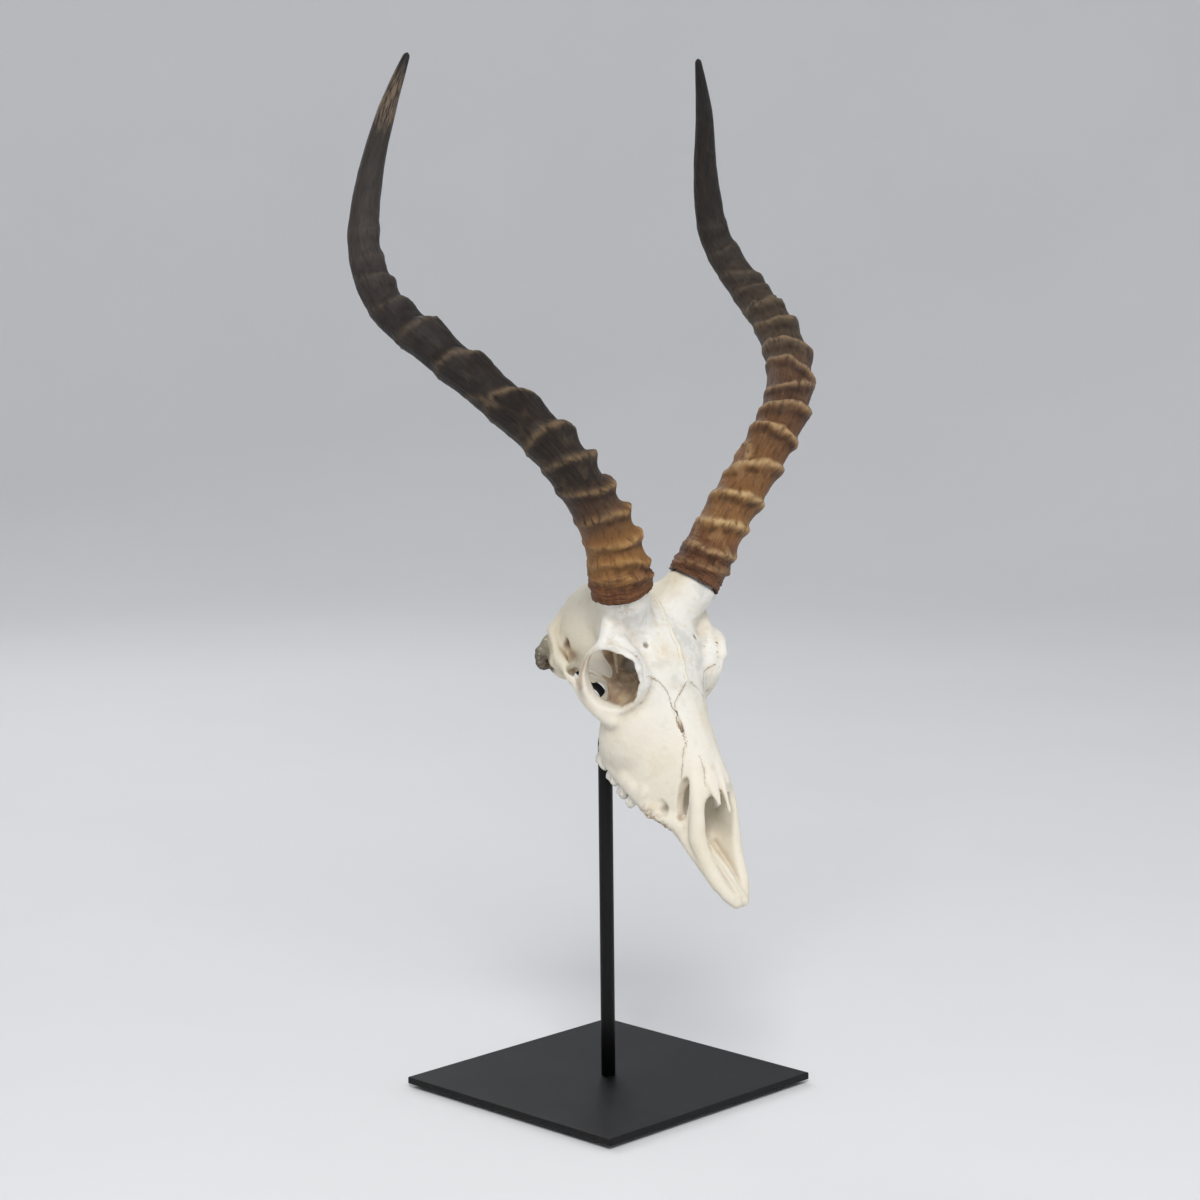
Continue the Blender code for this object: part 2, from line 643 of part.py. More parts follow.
def post(group, finish):
    """A turned post whose top narrows to a shoulder round the rod."""
    foot = PAD_THICKNESS + PLATE_THICKNESS + GAP * 2
    neck = ROD_RADIUS + POST_NECK_WALL
    bend = POST_RADIUS - POST_NECK_WALL
    profile = [
        (0, POST_TOP), (neck, POST_TOP), (bend, POST_TOP - POST_SHOULDER / 2),
        (POST_RADIUS, POST_TOP - POST_SHOULDER), (POST_RADIUS, foot), (0, foot),
    ]
    bm = bmesh.new()
    knots = [bm.verts.new((radius * MM, 0, height * MM)) for radius, height in profile]
    for near, far in zip(knots, knots[1:]):
        bm.edges.new((near, far))
    item = mesh_object("post", bm, group, finish)
    turn = item.modifiers.new("turn", "SCREW")
    turn.steps = turn.render_steps = POST_STEPS
    turn.use_merge_vertices = True
    turn.merge_threshold = 0.0001
    return item


def rod(group, finish):
    """The bent rod, from the post's shoulder up into the opening behind the skull."""
    curve = bpy.data.curves.new("skull_rod", "CURVE")
    curve.dimensions = "3D"
    curve.bevel_depth = ROD_RADIUS * MM
    curve.bevel_resolution = 2
    curve.use_fill_caps = True
    route = smooth_row([Vector(point) for point in ROD_PATH], ROD_CURVE_STEPS)
    spline = curve.splines.new("POLY")
    spline.points.add(len(route) - 1)
    for knot, point in zip(spline.points, route):
        knot.co = (*(Vector(point) * MM), 1.0)
    item = bpy.data.objects.new("skull_rod", curve)
    group.objects.link(item)
    curve.materials.append(finish)
    return item


def build():
    clear_scene()
    parts = new_collection("impala_skull_on_stand")
    cutters = new_collection("cutters", hidden=True)
    bone = material("bone", (0.78, 0.73, 0.62), 0.62)
    enamel = material("enamel", (0.80, 0.78, 0.70), 0.30)
    sheath = material("horn_sheath", (0.12, 0.075, 0.045), 0.50)
    steel = material("black_steel", (0.02, 0.02, 0.022), 0.38, 0.4)
    felt = material("dark_pad", (0.03, 0.03, 0.03), 0.90)

    slab("base_pad", PAD_SIDE, PAD_THICKNESS, 0.0, parts, felt)
    slab("base_plate", PLATE_SIDE, PLATE_THICKNESS, PAD_THICKNESS + GAP, parts, steel, PLATE_EDGE_ROUND)
    post(parts, steel)
    rod(parts, steel)

    frame = bpy.data.objects.new("skull_frame", None)
    parts.objects.link(frame)
    frame.location = Vector(SKULL_ORIGIN) * MM
    frame.rotation_euler = (math.radians(NOSE_DOWN), 0, 0)
    skull(parts, cutters, bone, frame)
    teeth(parts, enamel, frame)
    for name in SIDES:
        horn(name, parts, sheath)


build()
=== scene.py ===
"""Looks of the impala skull and horns on their display stand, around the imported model.

Lengths are in millimetres in the tables below and in metres on the objects. A skull point is
(lateral, forward, up) in the skull's own frame, which is tilted nose down on the stand.
"""

import math

import bpy
import numpy as np
from mathutils import Matrix, Vector


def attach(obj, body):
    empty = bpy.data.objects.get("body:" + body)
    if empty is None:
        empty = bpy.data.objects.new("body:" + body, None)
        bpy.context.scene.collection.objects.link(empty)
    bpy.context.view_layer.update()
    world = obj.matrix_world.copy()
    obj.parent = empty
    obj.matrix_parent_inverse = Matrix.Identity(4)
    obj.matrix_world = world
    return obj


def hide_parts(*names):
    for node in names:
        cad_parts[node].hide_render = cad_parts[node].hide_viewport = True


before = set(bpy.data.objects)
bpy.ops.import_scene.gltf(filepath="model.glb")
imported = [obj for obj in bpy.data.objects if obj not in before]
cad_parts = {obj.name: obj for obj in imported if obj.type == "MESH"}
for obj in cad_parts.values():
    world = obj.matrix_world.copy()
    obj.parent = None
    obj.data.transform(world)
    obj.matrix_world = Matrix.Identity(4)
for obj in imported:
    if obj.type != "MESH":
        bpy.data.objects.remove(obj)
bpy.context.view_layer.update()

MM = 0.001
SIDES = {"right": -1, "left": 1}

# Camera, as it stood for the photograph
CAMERA_AZIMUTH = -0.78920459
CAMERA_DISTANCE = 1.97687268
CAMERA_HEIGHT = 0.62444938
CAMERA_PITCH = 0.140409896
CAMERA_TURN = 0.00126
CAMERA_ROLL = -0.01022225
CAMERA_LENS = 87.0

# Stage, in metres: a floor of rings that bends up into a wall, and lights as name, place, size,
# power in watts and colour
FLOOR_RINGS = (0.02, 1.2, 2.4)
FLOOR_DROP = 0.0005
FLOOR_SIDES = 96
WALL_BEND = 1.6
WALL_HEIGHTS = (3.0, 4.5)
BEND_STEPS = 16
SKY_STRENGTH = 0.56
LIGHT_AIM = (0.0, 0.0, 0.35)
LIGHTS = [
    ("key", (-1.5, -1.6, 2.2), 1.1, 56.0, (1.0, 0.985, 0.96)),
    ("fill", (1.7, -1.5, 1.0), 1.6, 6.0, (0.95, 0.975, 1.0)),
    ("back", (0.6, 1.9, 1.7), 1.4, 12.0, (1.0, 1.0, 1.0)),
]

# Stand
POST_RADIUS = 5.0
POST_TOP = 253.0
POST_FOOT = 7.6
POST_SHOULDER = 8.0
POST_LIP = 0.6
POST_RINGS = (50, 100, 150, 200)
POST_SIDES = 64
ROD_RADIUS = 2.6
ROD_SIDES = 24
# Share of its radius that the rod has at its two ends
ROD_FOOT = 0.4
ROD_END = 0.8
ROD_PATH = [
    (0, 0, 253.4), (0, 0, 265), (0, 0.6, 276.5), (0, 5, 282.4), (0, 13.8, 286), (0, 24, 292),
    (0, 36, 299.8), (0, 44.6, 308), (0, 46.2, 316), (0, 41.6, 321), (0, 34.5, 321), (0, 27, 318),
]

# Place of the skull frame in the world
SKULL_ORIGIN = (0.0, 66.0, 299.4)
NOSE_DOWN = 36.4

# Horns: middle line from the base rim to the tip, in the world
HORN_PATHS = {
    "right": [
        (-36, -54, 360), (-56, -62, 400), (-85, -66, 435), (-115, -62, 468), (-144, -44, 498),
        (-164, -15, 526), (-173, 21, 552), (-169, 47, 589), (-160, 51, 633), (-151, 43, 677),
        (-136, 35.5, 719),
    ],
    "left": [
        (36, -54, 363.5), (58, -62, 402), (86, -66, 437), (117, -62, 469), (145, -43, 499),
        (164, -13, 526), (173, 22, 553), (168, 48, 589), (161, 51, 633), (151, 43, 677),
        (136, 35.5, 719),
    ],
}
HORN_RIM = {"right": 1.5, "left": -5.0}
HORN_LINE_LEAD = 8.0
HORN_TIP = 449.0
HORN_WALL = 3.5
HORN_CORE_RADIUS = 14.0
HORN_SEAT_DEPTH = 12.0
HORN_FACING = (0.70, 0.70, -0.14)
HORN_GIRTH = [
    (-5, 21.5, 19.5), (0, 21.5, 19.2), (20, 20.5, 17.5), (45, 18.0, 16.6), (75, 16.5, 16.6),
    (110, 16.0, 16.0), (150, 14.6, 16.3), (200, 13.4, 15.6), (250, 12.9, 13.6),
    (300, 11.9, 11.9), (340, 9.7, 10.2), (375, 7.7, 7.9), (410, 5.9, 6.0), (435, 3.7, 3.6),
    (449, 2.0, 2.0),
]
# Growth rings: distance along the horn at the front, on the outer side and behind, height of the
# crest, and its width towards the tip and towards the base
HORN_RINGS = {
    "right": [
        (9, 20, 14, 2.6, 3.0, 4.0), (19, 33, 27, 2.6, 3.2, 4.5), (40, 48, 47, 4.0, 3.4, 5.0),
        (59, 72, 69, 5.0, 3.6, 5.5), (81, 95, 98, 5.4, 3.8, 5.5), (105, 122, 117, 5.6, 4.0, 6.0),
        (129, 147, 136, 5.2, 4.2, 7.0), (160, 179, 170, 4.4, 4.2, 11.0),
        (200, 215, 212, 4.6, 4.4, 13.0), (237, 244, 246, 4.0, 4.2, 13.0),
        (264, 268, 273, 2.8, 4.0, 10.0), (289, 290, 295, 2.4, 4.0, 9.0), (309, 307, 310, 1.3, 4, 8),
        (331, 328, 330, 0.9, 4.0, 8.0),
    ],
    "left": [
        (4, 4, 12, 2.4, 3.0, 4.0), (16.5, 16, 22, 3.2, 3.2, 4.5), (37, 32.5, 39, 4.0, 3.4, 4.8),
        (57.5, 51.5, 57, 4.4, 3.6, 5.0), (81, 71, 82, 4.4, 3.6, 5.5), (111, 113, 117, 5.0, 3.8, 5.5),
        (130.5, 127.6, 135, 5.2, 4.0, 6.0), (149, 150.5, 163, 3.0, 3.6, 6.0),
        (175, 181, 170, 3.8, 4.0, 7.0), (195, 203, 198.5, 3.8, 4.0, 8.0),
        (218, 228, 233, 3.6, 4.0, 8.0), (239, 250, 256, 3.2, 3.6, 7.0),
        (262, 268, 266, 1.6, 3.0, 4.0), (279, 288, 281, 2.4, 4.0, 9.0), (302, 304, 306, 1.6, 4, 9),
        (324, 326, 328, 0.9, 4.0, 8.0),
    ],
}
# Short ridges that fork off a ring, as (distance, angle) points, and their height. The radius turns
# an angle into a length on the sheath.
FORK_RADIUS = 16
HORN_FORKS = {
    "right": [([(176, 250), (186, 232), (190, 205)], 1.6)],
    "left": [([(84, 344), (93, 330), (95, 308), (86, 288)], 3.0),
             ([(246, 330), (240, 10), (246, 50)], 1.8)],
}
# Colour along each horn, and of its worn crests: distance, then red, green and blue on a screen
HORN_COLOURS = {
    "right": [
        (0, 116, 76, 50), (14, 118, 78, 50), (24, 142, 100, 56), (52, 128, 88, 50), (76, 78, 55, 41),
        (100, 40, 31, 27), (200, 34, 28, 26), (262, 46, 40, 38), (320, 60, 53, 50), (390, 56, 51, 48),
        (425, 52, 48, 45), (449, 32, 31, 31),
    ],
    "left": [
        (0, 122, 82, 58), (18, 108, 70, 48), (34, 128, 88, 50), (70, 122, 83, 46), (118, 98, 66, 42),
        (144, 80, 54, 39), (172, 92, 66, 48), (188, 76, 62, 48), (250, 68, 58, 48), (288, 56, 48, 42),
        (330, 40, 35, 32), (449, 34, 32, 32),
    ],
}
CREST_COLOURS = {
    "right": [(0, 156, 112, 74), (30, 186, 146, 92), (110, 136, 112, 82), (240, 92, 80, 66),
              (340, 78, 71, 66)],
    "left": [(0, 156, 116, 82), (30, 206, 176, 128), (110, 184, 152, 110), (170, 156, 130, 100),
             (240, 120, 103, 82), (300, 88, 77, 66)],
}
# Angle of the strongest side of the rings, the share of their height on the weakest, and how deep
# the horn lies between them
RING_PEAK = {"right": -12.0, "left": 38.0}
RING_WEAK = 0.24
RING_SINK = 1.188
# The rings fade out between these two distances; the smooth tip starts at the second
RINGS_FADE_FROM = 290
RINGS_END = 345
HORN_AROUND = 120
HORN_STEP = 0.66
TIP_STEPS = 110
# Rings inside a horn's lower rim: how far up they stand, and how far in from the sheath's outside
RIM_FOLDS = ((0.8, 1.2), (0.9, HORN_WALL), (HORN_SEAT_DEPTH, HORN_WALL + 0.5))

# Teeth: name, forward position of the middle, length along the row, width, biting edge
TEETH = [
    ("m3", 107.0, 13.5, 10.0, 0.0),
    ("m2", 121.0, 13.0, 10.5, -2.0),
    ("m1", 133.2, 10.0, 10.5, -3.5),
    ("p4", 142.6, 7.5, 9.5, -4.0),
]
TOOTH_LATERAL = 24.0
TOOTH_ROOT_TOP = 13.0
TOOTH_AROUND = 48
TOOTH_LEVELS = 22
# Width of a tooth by its share of the height, and rings of the biting face: size, rise
TOOTH_SWELL = ([0, 0.12, 0.5, 1], [0.84, 1.0, 0.98, 0.82])
TOOTH_FACE = ((0.80, 0.2), (0.62, 1.7), (0.42, 0.9), (0.22, 1.9))

# Bone, as lumps of (centre, radii, tilt), the front end up
LUMPS = {
    "braincase": ((0, 46, 66), (35, 41, 36), 25),
    "frontal_roof": ((0, 82, 80), (43, 44, 21), -23),
    "occiput": ((0, 23, 42), (28, 9, 20), 10),
    "skull_base": ((0, 49, 34), (15, 39, 7), 3),
    "orbit_block": ((0, 96, 66), (34, 26, 24), -10),
    "temple": ((20, 60, 90), (17, 22, 22), 0),
    "squama": ((27, 36, 40), (7, 13, 13), 0),
    "bulla": ((18, 34, 25), (8, 12, 8), 0),
    "condyle": ((13, 16, 27), (8.5, 8.5, 8.5), 0),
}
# Lumps that run smoothly into the face
SOFT_LUMPS = {"cheek": ((32, 113, 38), (8.5, 15, 21), 15)}
# Bars of (lateral, forward, up, radius)
BARS = {
    "pedicle": [(23, 66, 92, 17), (29, 62, 108, 17.6), (34, 61, 117, 17.4), (37, 60, 124, 15)],
    "brow": [(42, 75, 94, 7), (41, 86, 91, 7), (38, 96, 88, 7.5), (33, 105, 81, 6.5)],
    "brow_edge": [(51.5, 79, 88, 3), (49, 87, 91.8, 3.8), (46.4, 96, 92.8, 3.9), (42.6, 104, 90, 3.9)],
    "tear_bone": [(34, 109, 78, 5.5), (33.5, 110, 68, 5.5), (35, 108, 58, 6), (40, 103, 52, 6)],
    "cheek_arch": [
        (41, 108, 47, 6), (46.5, 96, 47, 5.5), (50, 84, 48.5, 4.5), (50.5, 75, 50, 3.4),
        (49.5, 66, 49.6, 3.2), (46.5, 57, 49, 3.4), (41, 48, 44.5, 4.2), (35, 42, 42, 4.5),
    ],
    "bar_behind_orbit": [(43, 65.5, 102, 4.5), (47, 73.5, 94, 4.6), (52, 77.5, 86, 3.6),
                         (55, 77.5, 77, 2.6), (55, 79, 66, 3), (53, 84, 56, 4)],
    "mastoid_process": [(28, 25, 38, 7), (28, 24, 28, 6.2), (27, 26, 20.5, 4.4)],
    "mastoid_foot": [(29, 33, 34, 5), (30, 37, 33, 4.6), (31, 42, 35, 4)],
    "nuchal_crest": [(30, 21.5, 48, 3), (24, 18, 59, 3), (12, 14.5, 67.5, 3), (0, 13, 70, 3)],
    "side_crest": [(30, 21, 49, 3), (32.5, 26, 47.5, 2.5), (34.5, 32.5, 45.5, 2.4), (37, 40, 42.5, 2.8)],
    "pterygoid": [(11, 74, 30, 4), (12, 84, 22, 4), (14, 94, 13, 4.5), (17, 103, 9, 5)],
    "tooth_ridge": [(23, 106, 14, 7), (24.5, 118, 12.5, 7.5), (24.5, 136, 11.5, 7.5),
                    (23.5, 148, 8.5, 6.6), (22, 160, 8.6, 6.2), (20.5, 171, 10.5, 6), (18, 182, 13.5, 5.6)],
    "premaxilla": [
        (11.5, 160, 50, 3.4), (14.5, 174, 41, 4.2), (16, 186, 31, 5), (16.3, 197, 17, 6.2),
        (14.4, 209, 9, 5.4), (12.2, 222, 3, 4.8), (8, 233.4, -2, 4.6), (3, 240.4, -4.2, 4.4),
    ],
    "palate_rail": [(17, 178, 13, 6), (15, 196, 7, 5), (13.5, 212, 3, 4), (12, 226, 0, 3.6)],
    "nasal_plate": [(5, 160, 55, 4.4), (5.4, 172, 51.6, 3.4), (5.4, 181, 48.8, 2.2)],
}
# Bars grown or cut after the hollows, on both sides
LATE_BARS = {
    "palate_ridge": [(2.6, 184, 9, 1.6), (2.6, 200, 4.6, 1.5), (2.6, 218, 3.2, 1.6), (1.6, 238, -0.4, 2.4)],
    "orbit_fin": [(35, 73, 90, 2.6), (35.5, 78, 83, 2.1), (36, 84, 77, 1.6), (35, 88, 71, 1.2)],
    "orbit_ledge": [(40, 71, 57, 1.6), (36, 78, 59, 1.4), (32, 82, 58, 1.6)],
}
# Bars grown on one side only, where the two sides broke differently
SINGLE_BARS = {
    "right_nasal_side": [(-8.8, 166, 51.6, 3.2), (-8.6, 178, 48.4, 3.0), (-8.2, 187, 45.4, 2.2),
                         (-7.8, 192.6, 43.0, 1.3)],
    "right_nasal_tip": [(-5, 166, 53, 3.2), (-5.4, 178, 49.4, 2.8), (-7, 189, 44.8, 1.6)],
    "left_nasal_tip": [(3, 168, 53.6, 3.2), (0.4, 180, 50.2, 2.6), (-1.6, 189, 46.8, 1.9),
                       (-2, 199, 40.8, 1.3)],
    "left_nasal_side": [(9, 168, 51, 3), (9.5, 180, 47.5, 1.6)],
}
LATE_CUTS = {
    "sight_gap": [(46, 89, 59, 3), (36, 83, 51, 5), (22, 74, 39, 5.5), (8, 63, 27, 5), (0, 58, 19, 5)],
    "root_pits": [(23.5, 149, 1, 2.2), (23.5, 149, 7, 1.6)],
    "root_pits_ahead": [(22, 158, 1.4, 2.4), (22, 158, 7, 1.6)],
    "root_pits_front": [(20.5, 168, 3, 2), (20.5, 168, 8, 1.4)],
    "fissure": [(16.6, 124, 75.2, 1.1), (16, 127, 73.4, 1.3), (14.8, 133.6, 69.2, 1.4),
                (13.4, 139.5, 64.6, 1.5), (12.6, 143.8, 60.8, 1.9), (11.9, 148.4, 57.6, 2.7),
                (12.2, 151, 55.8, 1.6)],
}

ORBIT_CENTRE = (47.4, 95.5, 74)
ORBIT_FACING = (0.921, 0.39, 0.0)
ORBIT_DEPTH = 29.0
ORBIT_BLEND = 1.2
# Opening and band of the eye socket: angle from straight ahead, radius of the edge, half width of
# the band round it
ORBIT_OUTLINE = [
    (4, 18.9, 1.2), (42, 18.6, 1.3), (66, 20.8, 1.4), (84, 20.9, 1.4), (108, 19.4, 1.4), (143, 21.0, 1.4),
    (167, 21.3, 1.6), (192, 19.3, 2.2), (225, 18.9, 3.9), (256, 19.6, 4.6), (285, 20.6, 3.6),
    (312, 21.8, 1.7), (340, 20.6, 1.2),
]

# Half outlines of the face and muzzle: forward position, then (lateral, up) from palate to top
FACE_SECTIONS = [
    (84, [(0, 20), (12, 22), (22, 38), (33, 54), (38, 78), (24, 96), (0, 103)]),
    (102, [(0, 9), (24, 7), (31, 22), (35, 44), (35, 70), (20, 90), (0, 96)]),
    (120, [(0, 8), (28, 5), (32, 20), (33, 40), (29, 60), (17, 78), (0, 83)]),
    (137, [(0, 8), (28, 5), (31, 20), (29, 38), (23, 54), (13, 69), (0, 73.5)]),
    (154, [(0, 8), (24, 6), (27, 18), (25, 34), (20, 49), (11, 61), (0, 64.5)]),
    (170, [(0, 8), (20, 8), (21.5, 18), (20.5, 32), (17, 44), (9.5, 53), (0, 56)]),
    (182, [(0, 6), (18, 8), (19, 17), (18.5, 28), (15.5, 39), (9, 46.5), (0, 49.5)]),
    (193, [(0, 4), (16, 6), (17.5, 12), (17, 19), (14, 25), (8, 28), (0, 29)]),
]
NOSE_SECTIONS = [
    (140, [(0, 30), (6, 32), (9, 38), (9, 44), (7, 50), (4, 54), (0, 55)]),
    (162, [(0, 16), (9, 18), (13, 26), (13, 34), (11, 42), (6, 49), (0, 50)]),
    (180, [(0, 9), (10, 10), (14, 18), (14, 28), (12.5, 35), (9, 42), (0, 44)]),
    (192, [(0, 5), (9, 7), (13, 14), (14, 24), (14, 32), (10, 41), (0, 42)]),
    (208, [(0, 3.5), (7, 4), (10, 9), (12, 20), (12, 32), (8, 40), (0, 41)]),
    (222, [(0, 2), (5, 2), (7, 4), (8, 14), (9, 26), (7, 34), (0, 35)]),
    (234, [(0, 0), (2, 0), (3.5, 1), (5, 9), (6, 18), (5, 26), (0, 27)]),
]
# The floor of the open muzzle
FLOOR_SECTIONS = [
    (174, [(0, 2), (12, 3), (13, 6), (12, 9), (0, 9.5)]),
    (194, [(0, -2.5), (11, -1), (12.5, 1.5), (11, 4), (0, 4.5)]),
    (210, [(0, -3.5), (10, -2.5), (11.5, 0), (10, 2.5), (0, 3.5)]),
    (224, [(0, -5), (8, -4), (9.5, -2), (8, 1), (0, 2.5)]),
    (238, [(0, -7.5), (3, -6.5), (4, -4), (3, -1.5), (0, -0.5)]),
]
# Small swellings over the tooth roots
BULGES = [
    ((30.5, 119, 12.5), (3.2, 4.5, 5), 0), ((30.5, 131, 14), (3.2, 4, 6), 0),
    ((29.5, 140.5, 12), (3, 4, 5), 0), ((28, 149, 15), (3, 4, 6), 0),
]

HOLLOWS = {
    "temple_gap": ((45, 65, 62), (8, 8.5, 17), 0),
    "cheek_gap": ((40, 76, 34), (10, 18, 14), 20),
    "muzzle_window": ((19, 173.5, 31), (7, 4.2, 15), 28),
    "brain_hollow": ((0, 36, 60), (22, 27, 22), 25),
    "rear_opening": ((0, 12, 34), (8.5, 18, 8), -12),
    "throat": ((0, 84, 14), (10, 24, 12), 15),
    "frontal_foramen": ((24, 90, 97.5), (1.5, 1.9, 4), 0),
    "tear_foramen": ((32.5, 113, 67), (3, 1.4, 1.4), 0),
    "wall_pit": ((32.6, 39.5, 51.5), (4.6, 2.8, 4.4), 36),
    "mastoid_notch": ((30, 31.5, 27), (6, 2.6, 3.6), 0),
    "cheek_dip": ((25.6, 166.5, 17), (4.4, 6, 3.4), -32),
    "orbit_pit": ((20, 84.5, 72.5), (6, 5, 6), 0),
}

# Small holes with painted shade in dark brown: place and reach
DARK_PITS = [
    ((24, 90, 95.5), 2.6), ((32.5, 113, 67), 3.2), ((30, 113, 70), 2.2), ((31, 39.5, 51.5), 4.6),
    ((20, 84, 72.5), 9.0), ((12, 149.5, 57), 4.2), ((23.4, 167, 17), 4.4),
]

# Seams of the bone, the same on either side
SEAMS = {
    "seam_tear": [(35, 109, 86), (25.2, 109.8, 83), (20.8, 113.7, 81.4), (17.9, 118.6, 78.9),
                  (16.2, 125.6, 74.1)],
    "seam_crack": [(16.2, 124.6, 74.7), (16.2, 127.5, 73.2), (14.2, 131.5, 70.8), (15, 135, 68.4),
                   (12.9, 139.5, 64.8), (13.2, 143.8, 61), (11.8, 149.6, 57.2)],
    "seam_nose": [(0, 118.8, 83.6), (3.2, 119.3, 83.2), (8.6, 122.8, 79.6), (14, 126.3, 75.2),
                  (15.6, 131, 71)],
    "seam_muzzle": [(12.4, 150, 57), (16.3, 152.4, 55.9), (18.4, 158.9, 48.6), (19.6, 165, 40.7)],
    "seam_side": [(9.6, 160, 58), (10.2, 170.3, 53.3), (12.1, 178.9, 46.1)],
}
# Way of the seam between the frontal bones, which strays to one side: forward position, lateral
MIDDLE_SEAM = [(55, 6), (74, 2), (88, -1), (100, -1.3), (120, -1.8)]
SEAM_REACH = 3.0

# Patches of the bone that look different, as soft balls of (centre, radii)
PATCHES = {
    "open": ((30, 24, 53), (12, 13, 12)), "rear_side": ((30, 22, 26), (20, 20, 24)),
    "rear_middle": ((0, 8, 40), (26, 14, 28)), "sockets": ((23, 166, 5), (11, 30, 10)),
    "face": ((30, 132, 40), (26, 34, 36)),
}
# Greyish patch on the outer side of the horn's bony stump
SHADED_PATCH = ((44, 74, 117), (10, 11, 9))
# Relief of the bone: height, size of the lumps, seed, and the patch it lies in
BONE_RELIEF = [
    (0.30, 16.0, 21, "all"), (0.10, 4.5, 24, "all"), (1.0, 4.4, 27, "rear"), (1.5, 3.6, 28, "sockets"),
    (0.16, 3.4, 29, "face"),
]
# Beaded ridge along the seam between the frontal bones
MIDDLE_SEAM_HEIGHT = 0.9
MIDDLE_SEAM_WIDTH = 1.3
# Dark line in the middle of each stained seam: half width in centimetres, strength
SEAM_MARKS = {
    "seam_tear": (0.06, 0.60), "seam_nose": (0.06, 0.55), "seam_muzzle": (0.05, 0.45),
    "seam_side": (0.045, 0.5),
}

# Grid of the bone: spacing, reach of its distances, lowest forward and up, and highest lateral,
# forward and up; then how softly its forms run into each other
BONE_PITCH = 1.18
BONE_REACH = 12.0
BONE_LOW = (0, -12)
BONE_HIGH = (60, 250, 142)
LUMP_BLEND = 5.0
SOFT_BLEND = 14.0
BAR_BLEND = 3.0
WIDE_BARS = ("pedicle", "brow")
WIDE_BLEND = 6.0
HOLLOW_BLEND = 1.5
BULGE_BLEND = 2.5
CUT_BLEND = 0.8


# Steps between two given points of a curve, and layers of the layered noise
CURVE_STEPS = 6
NOISE_LAYERS = 3
# Moves of the bone's points towards their neighbours' mean and back out, as shares of the way
RELAX_STEPS = (0.5, -0.52, 0.5, -0.52)


def smooth_rows(rows, steps=CURVE_STEPS):
    """More rows of numbers between the given ones, on a smooth curve through them."""
    rows = np.asarray(rows, float)
    padded = np.vstack([rows[:1], rows, rows[-1:]])
    result = []
    for i in range(len(rows) - 1):
        before, start, end, after = padded[i:i + 4]
        rise, fall = (end - before) / 2, (after - start) / 2
        bend = 2 * start - 2 * end + rise + fall
        for step in range(steps):
            share = step / steps
            result.append(start + share * (rise + share * (3 * (end - start) - 2 * rise - fall
                                                           + share * bend)))
    result.append(rows[-1])
    return np.array(result)


def read_between(table, cell, share):
    """Values between the eight corners of a table's cells. The table repeats beyond its ends."""
    total = np.zeros(len(cell))
    for corner in np.ndindex(2, 2, 2):
        weight = np.prod(np.where(np.array(corner) == 1, share, 1 - share), axis=1)
        total += weight * table[tuple(((cell + corner) % table.shape).T)]
    return total


def lattice_noise(points, seed):
    """Smooth noise from -1 to 1 over space, one lattice cell a unit wide."""
    table = np.random.default_rng(seed).uniform(-1, 1, (32, 32, 32))
    cell = np.floor(points).astype(int)
    share = points - cell
    return read_between(table, cell, share * share * (3 - 2 * share))


def layered_noise(points, seed):
    """Smooth noise with finer and weaker noise upon it."""
    total = np.zeros(len(points))
    for layer in range(NOISE_LAYERS):
        total += lattice_noise(points * 2.03 ** layer + 7.3 * layer, seed + layer) / 1.9 ** layer
    return total


def smooth_step(low, high, value):
    """0 before low and 1 after high, where high may be the smaller."""
    share = np.clip((value - low) / (high - low), 0, 1)
    return share * share * (3 - 2 * share)


def make_object(name, points, quads, finish, masks=()):
    """A smooth mesh object from arrays of points and faces, with an attribute for each mask."""
    mesh = bpy.data.meshes.new(name)
    mesh.from_pydata(np.asarray(points), [], [face for group in quads for face in group.tolist()])
    mesh.validate()
    mesh.shade_smooth()
    for word, values in dict(masks).items():
        values = np.asarray(values, np.float32)
        kind = "FLOAT" if values.ndim == 1 else "FLOAT_VECTOR"
        layer = mesh.attributes.new(word, kind, "POINT")
        layer.data.foreach_set("value" if kind == "FLOAT" else "vector", values.ravel())
    mesh.materials.append(finish)
    item = bpy.data.objects.new(name, mesh)
    bpy.context.scene.collection.objects.link(item)
    return item


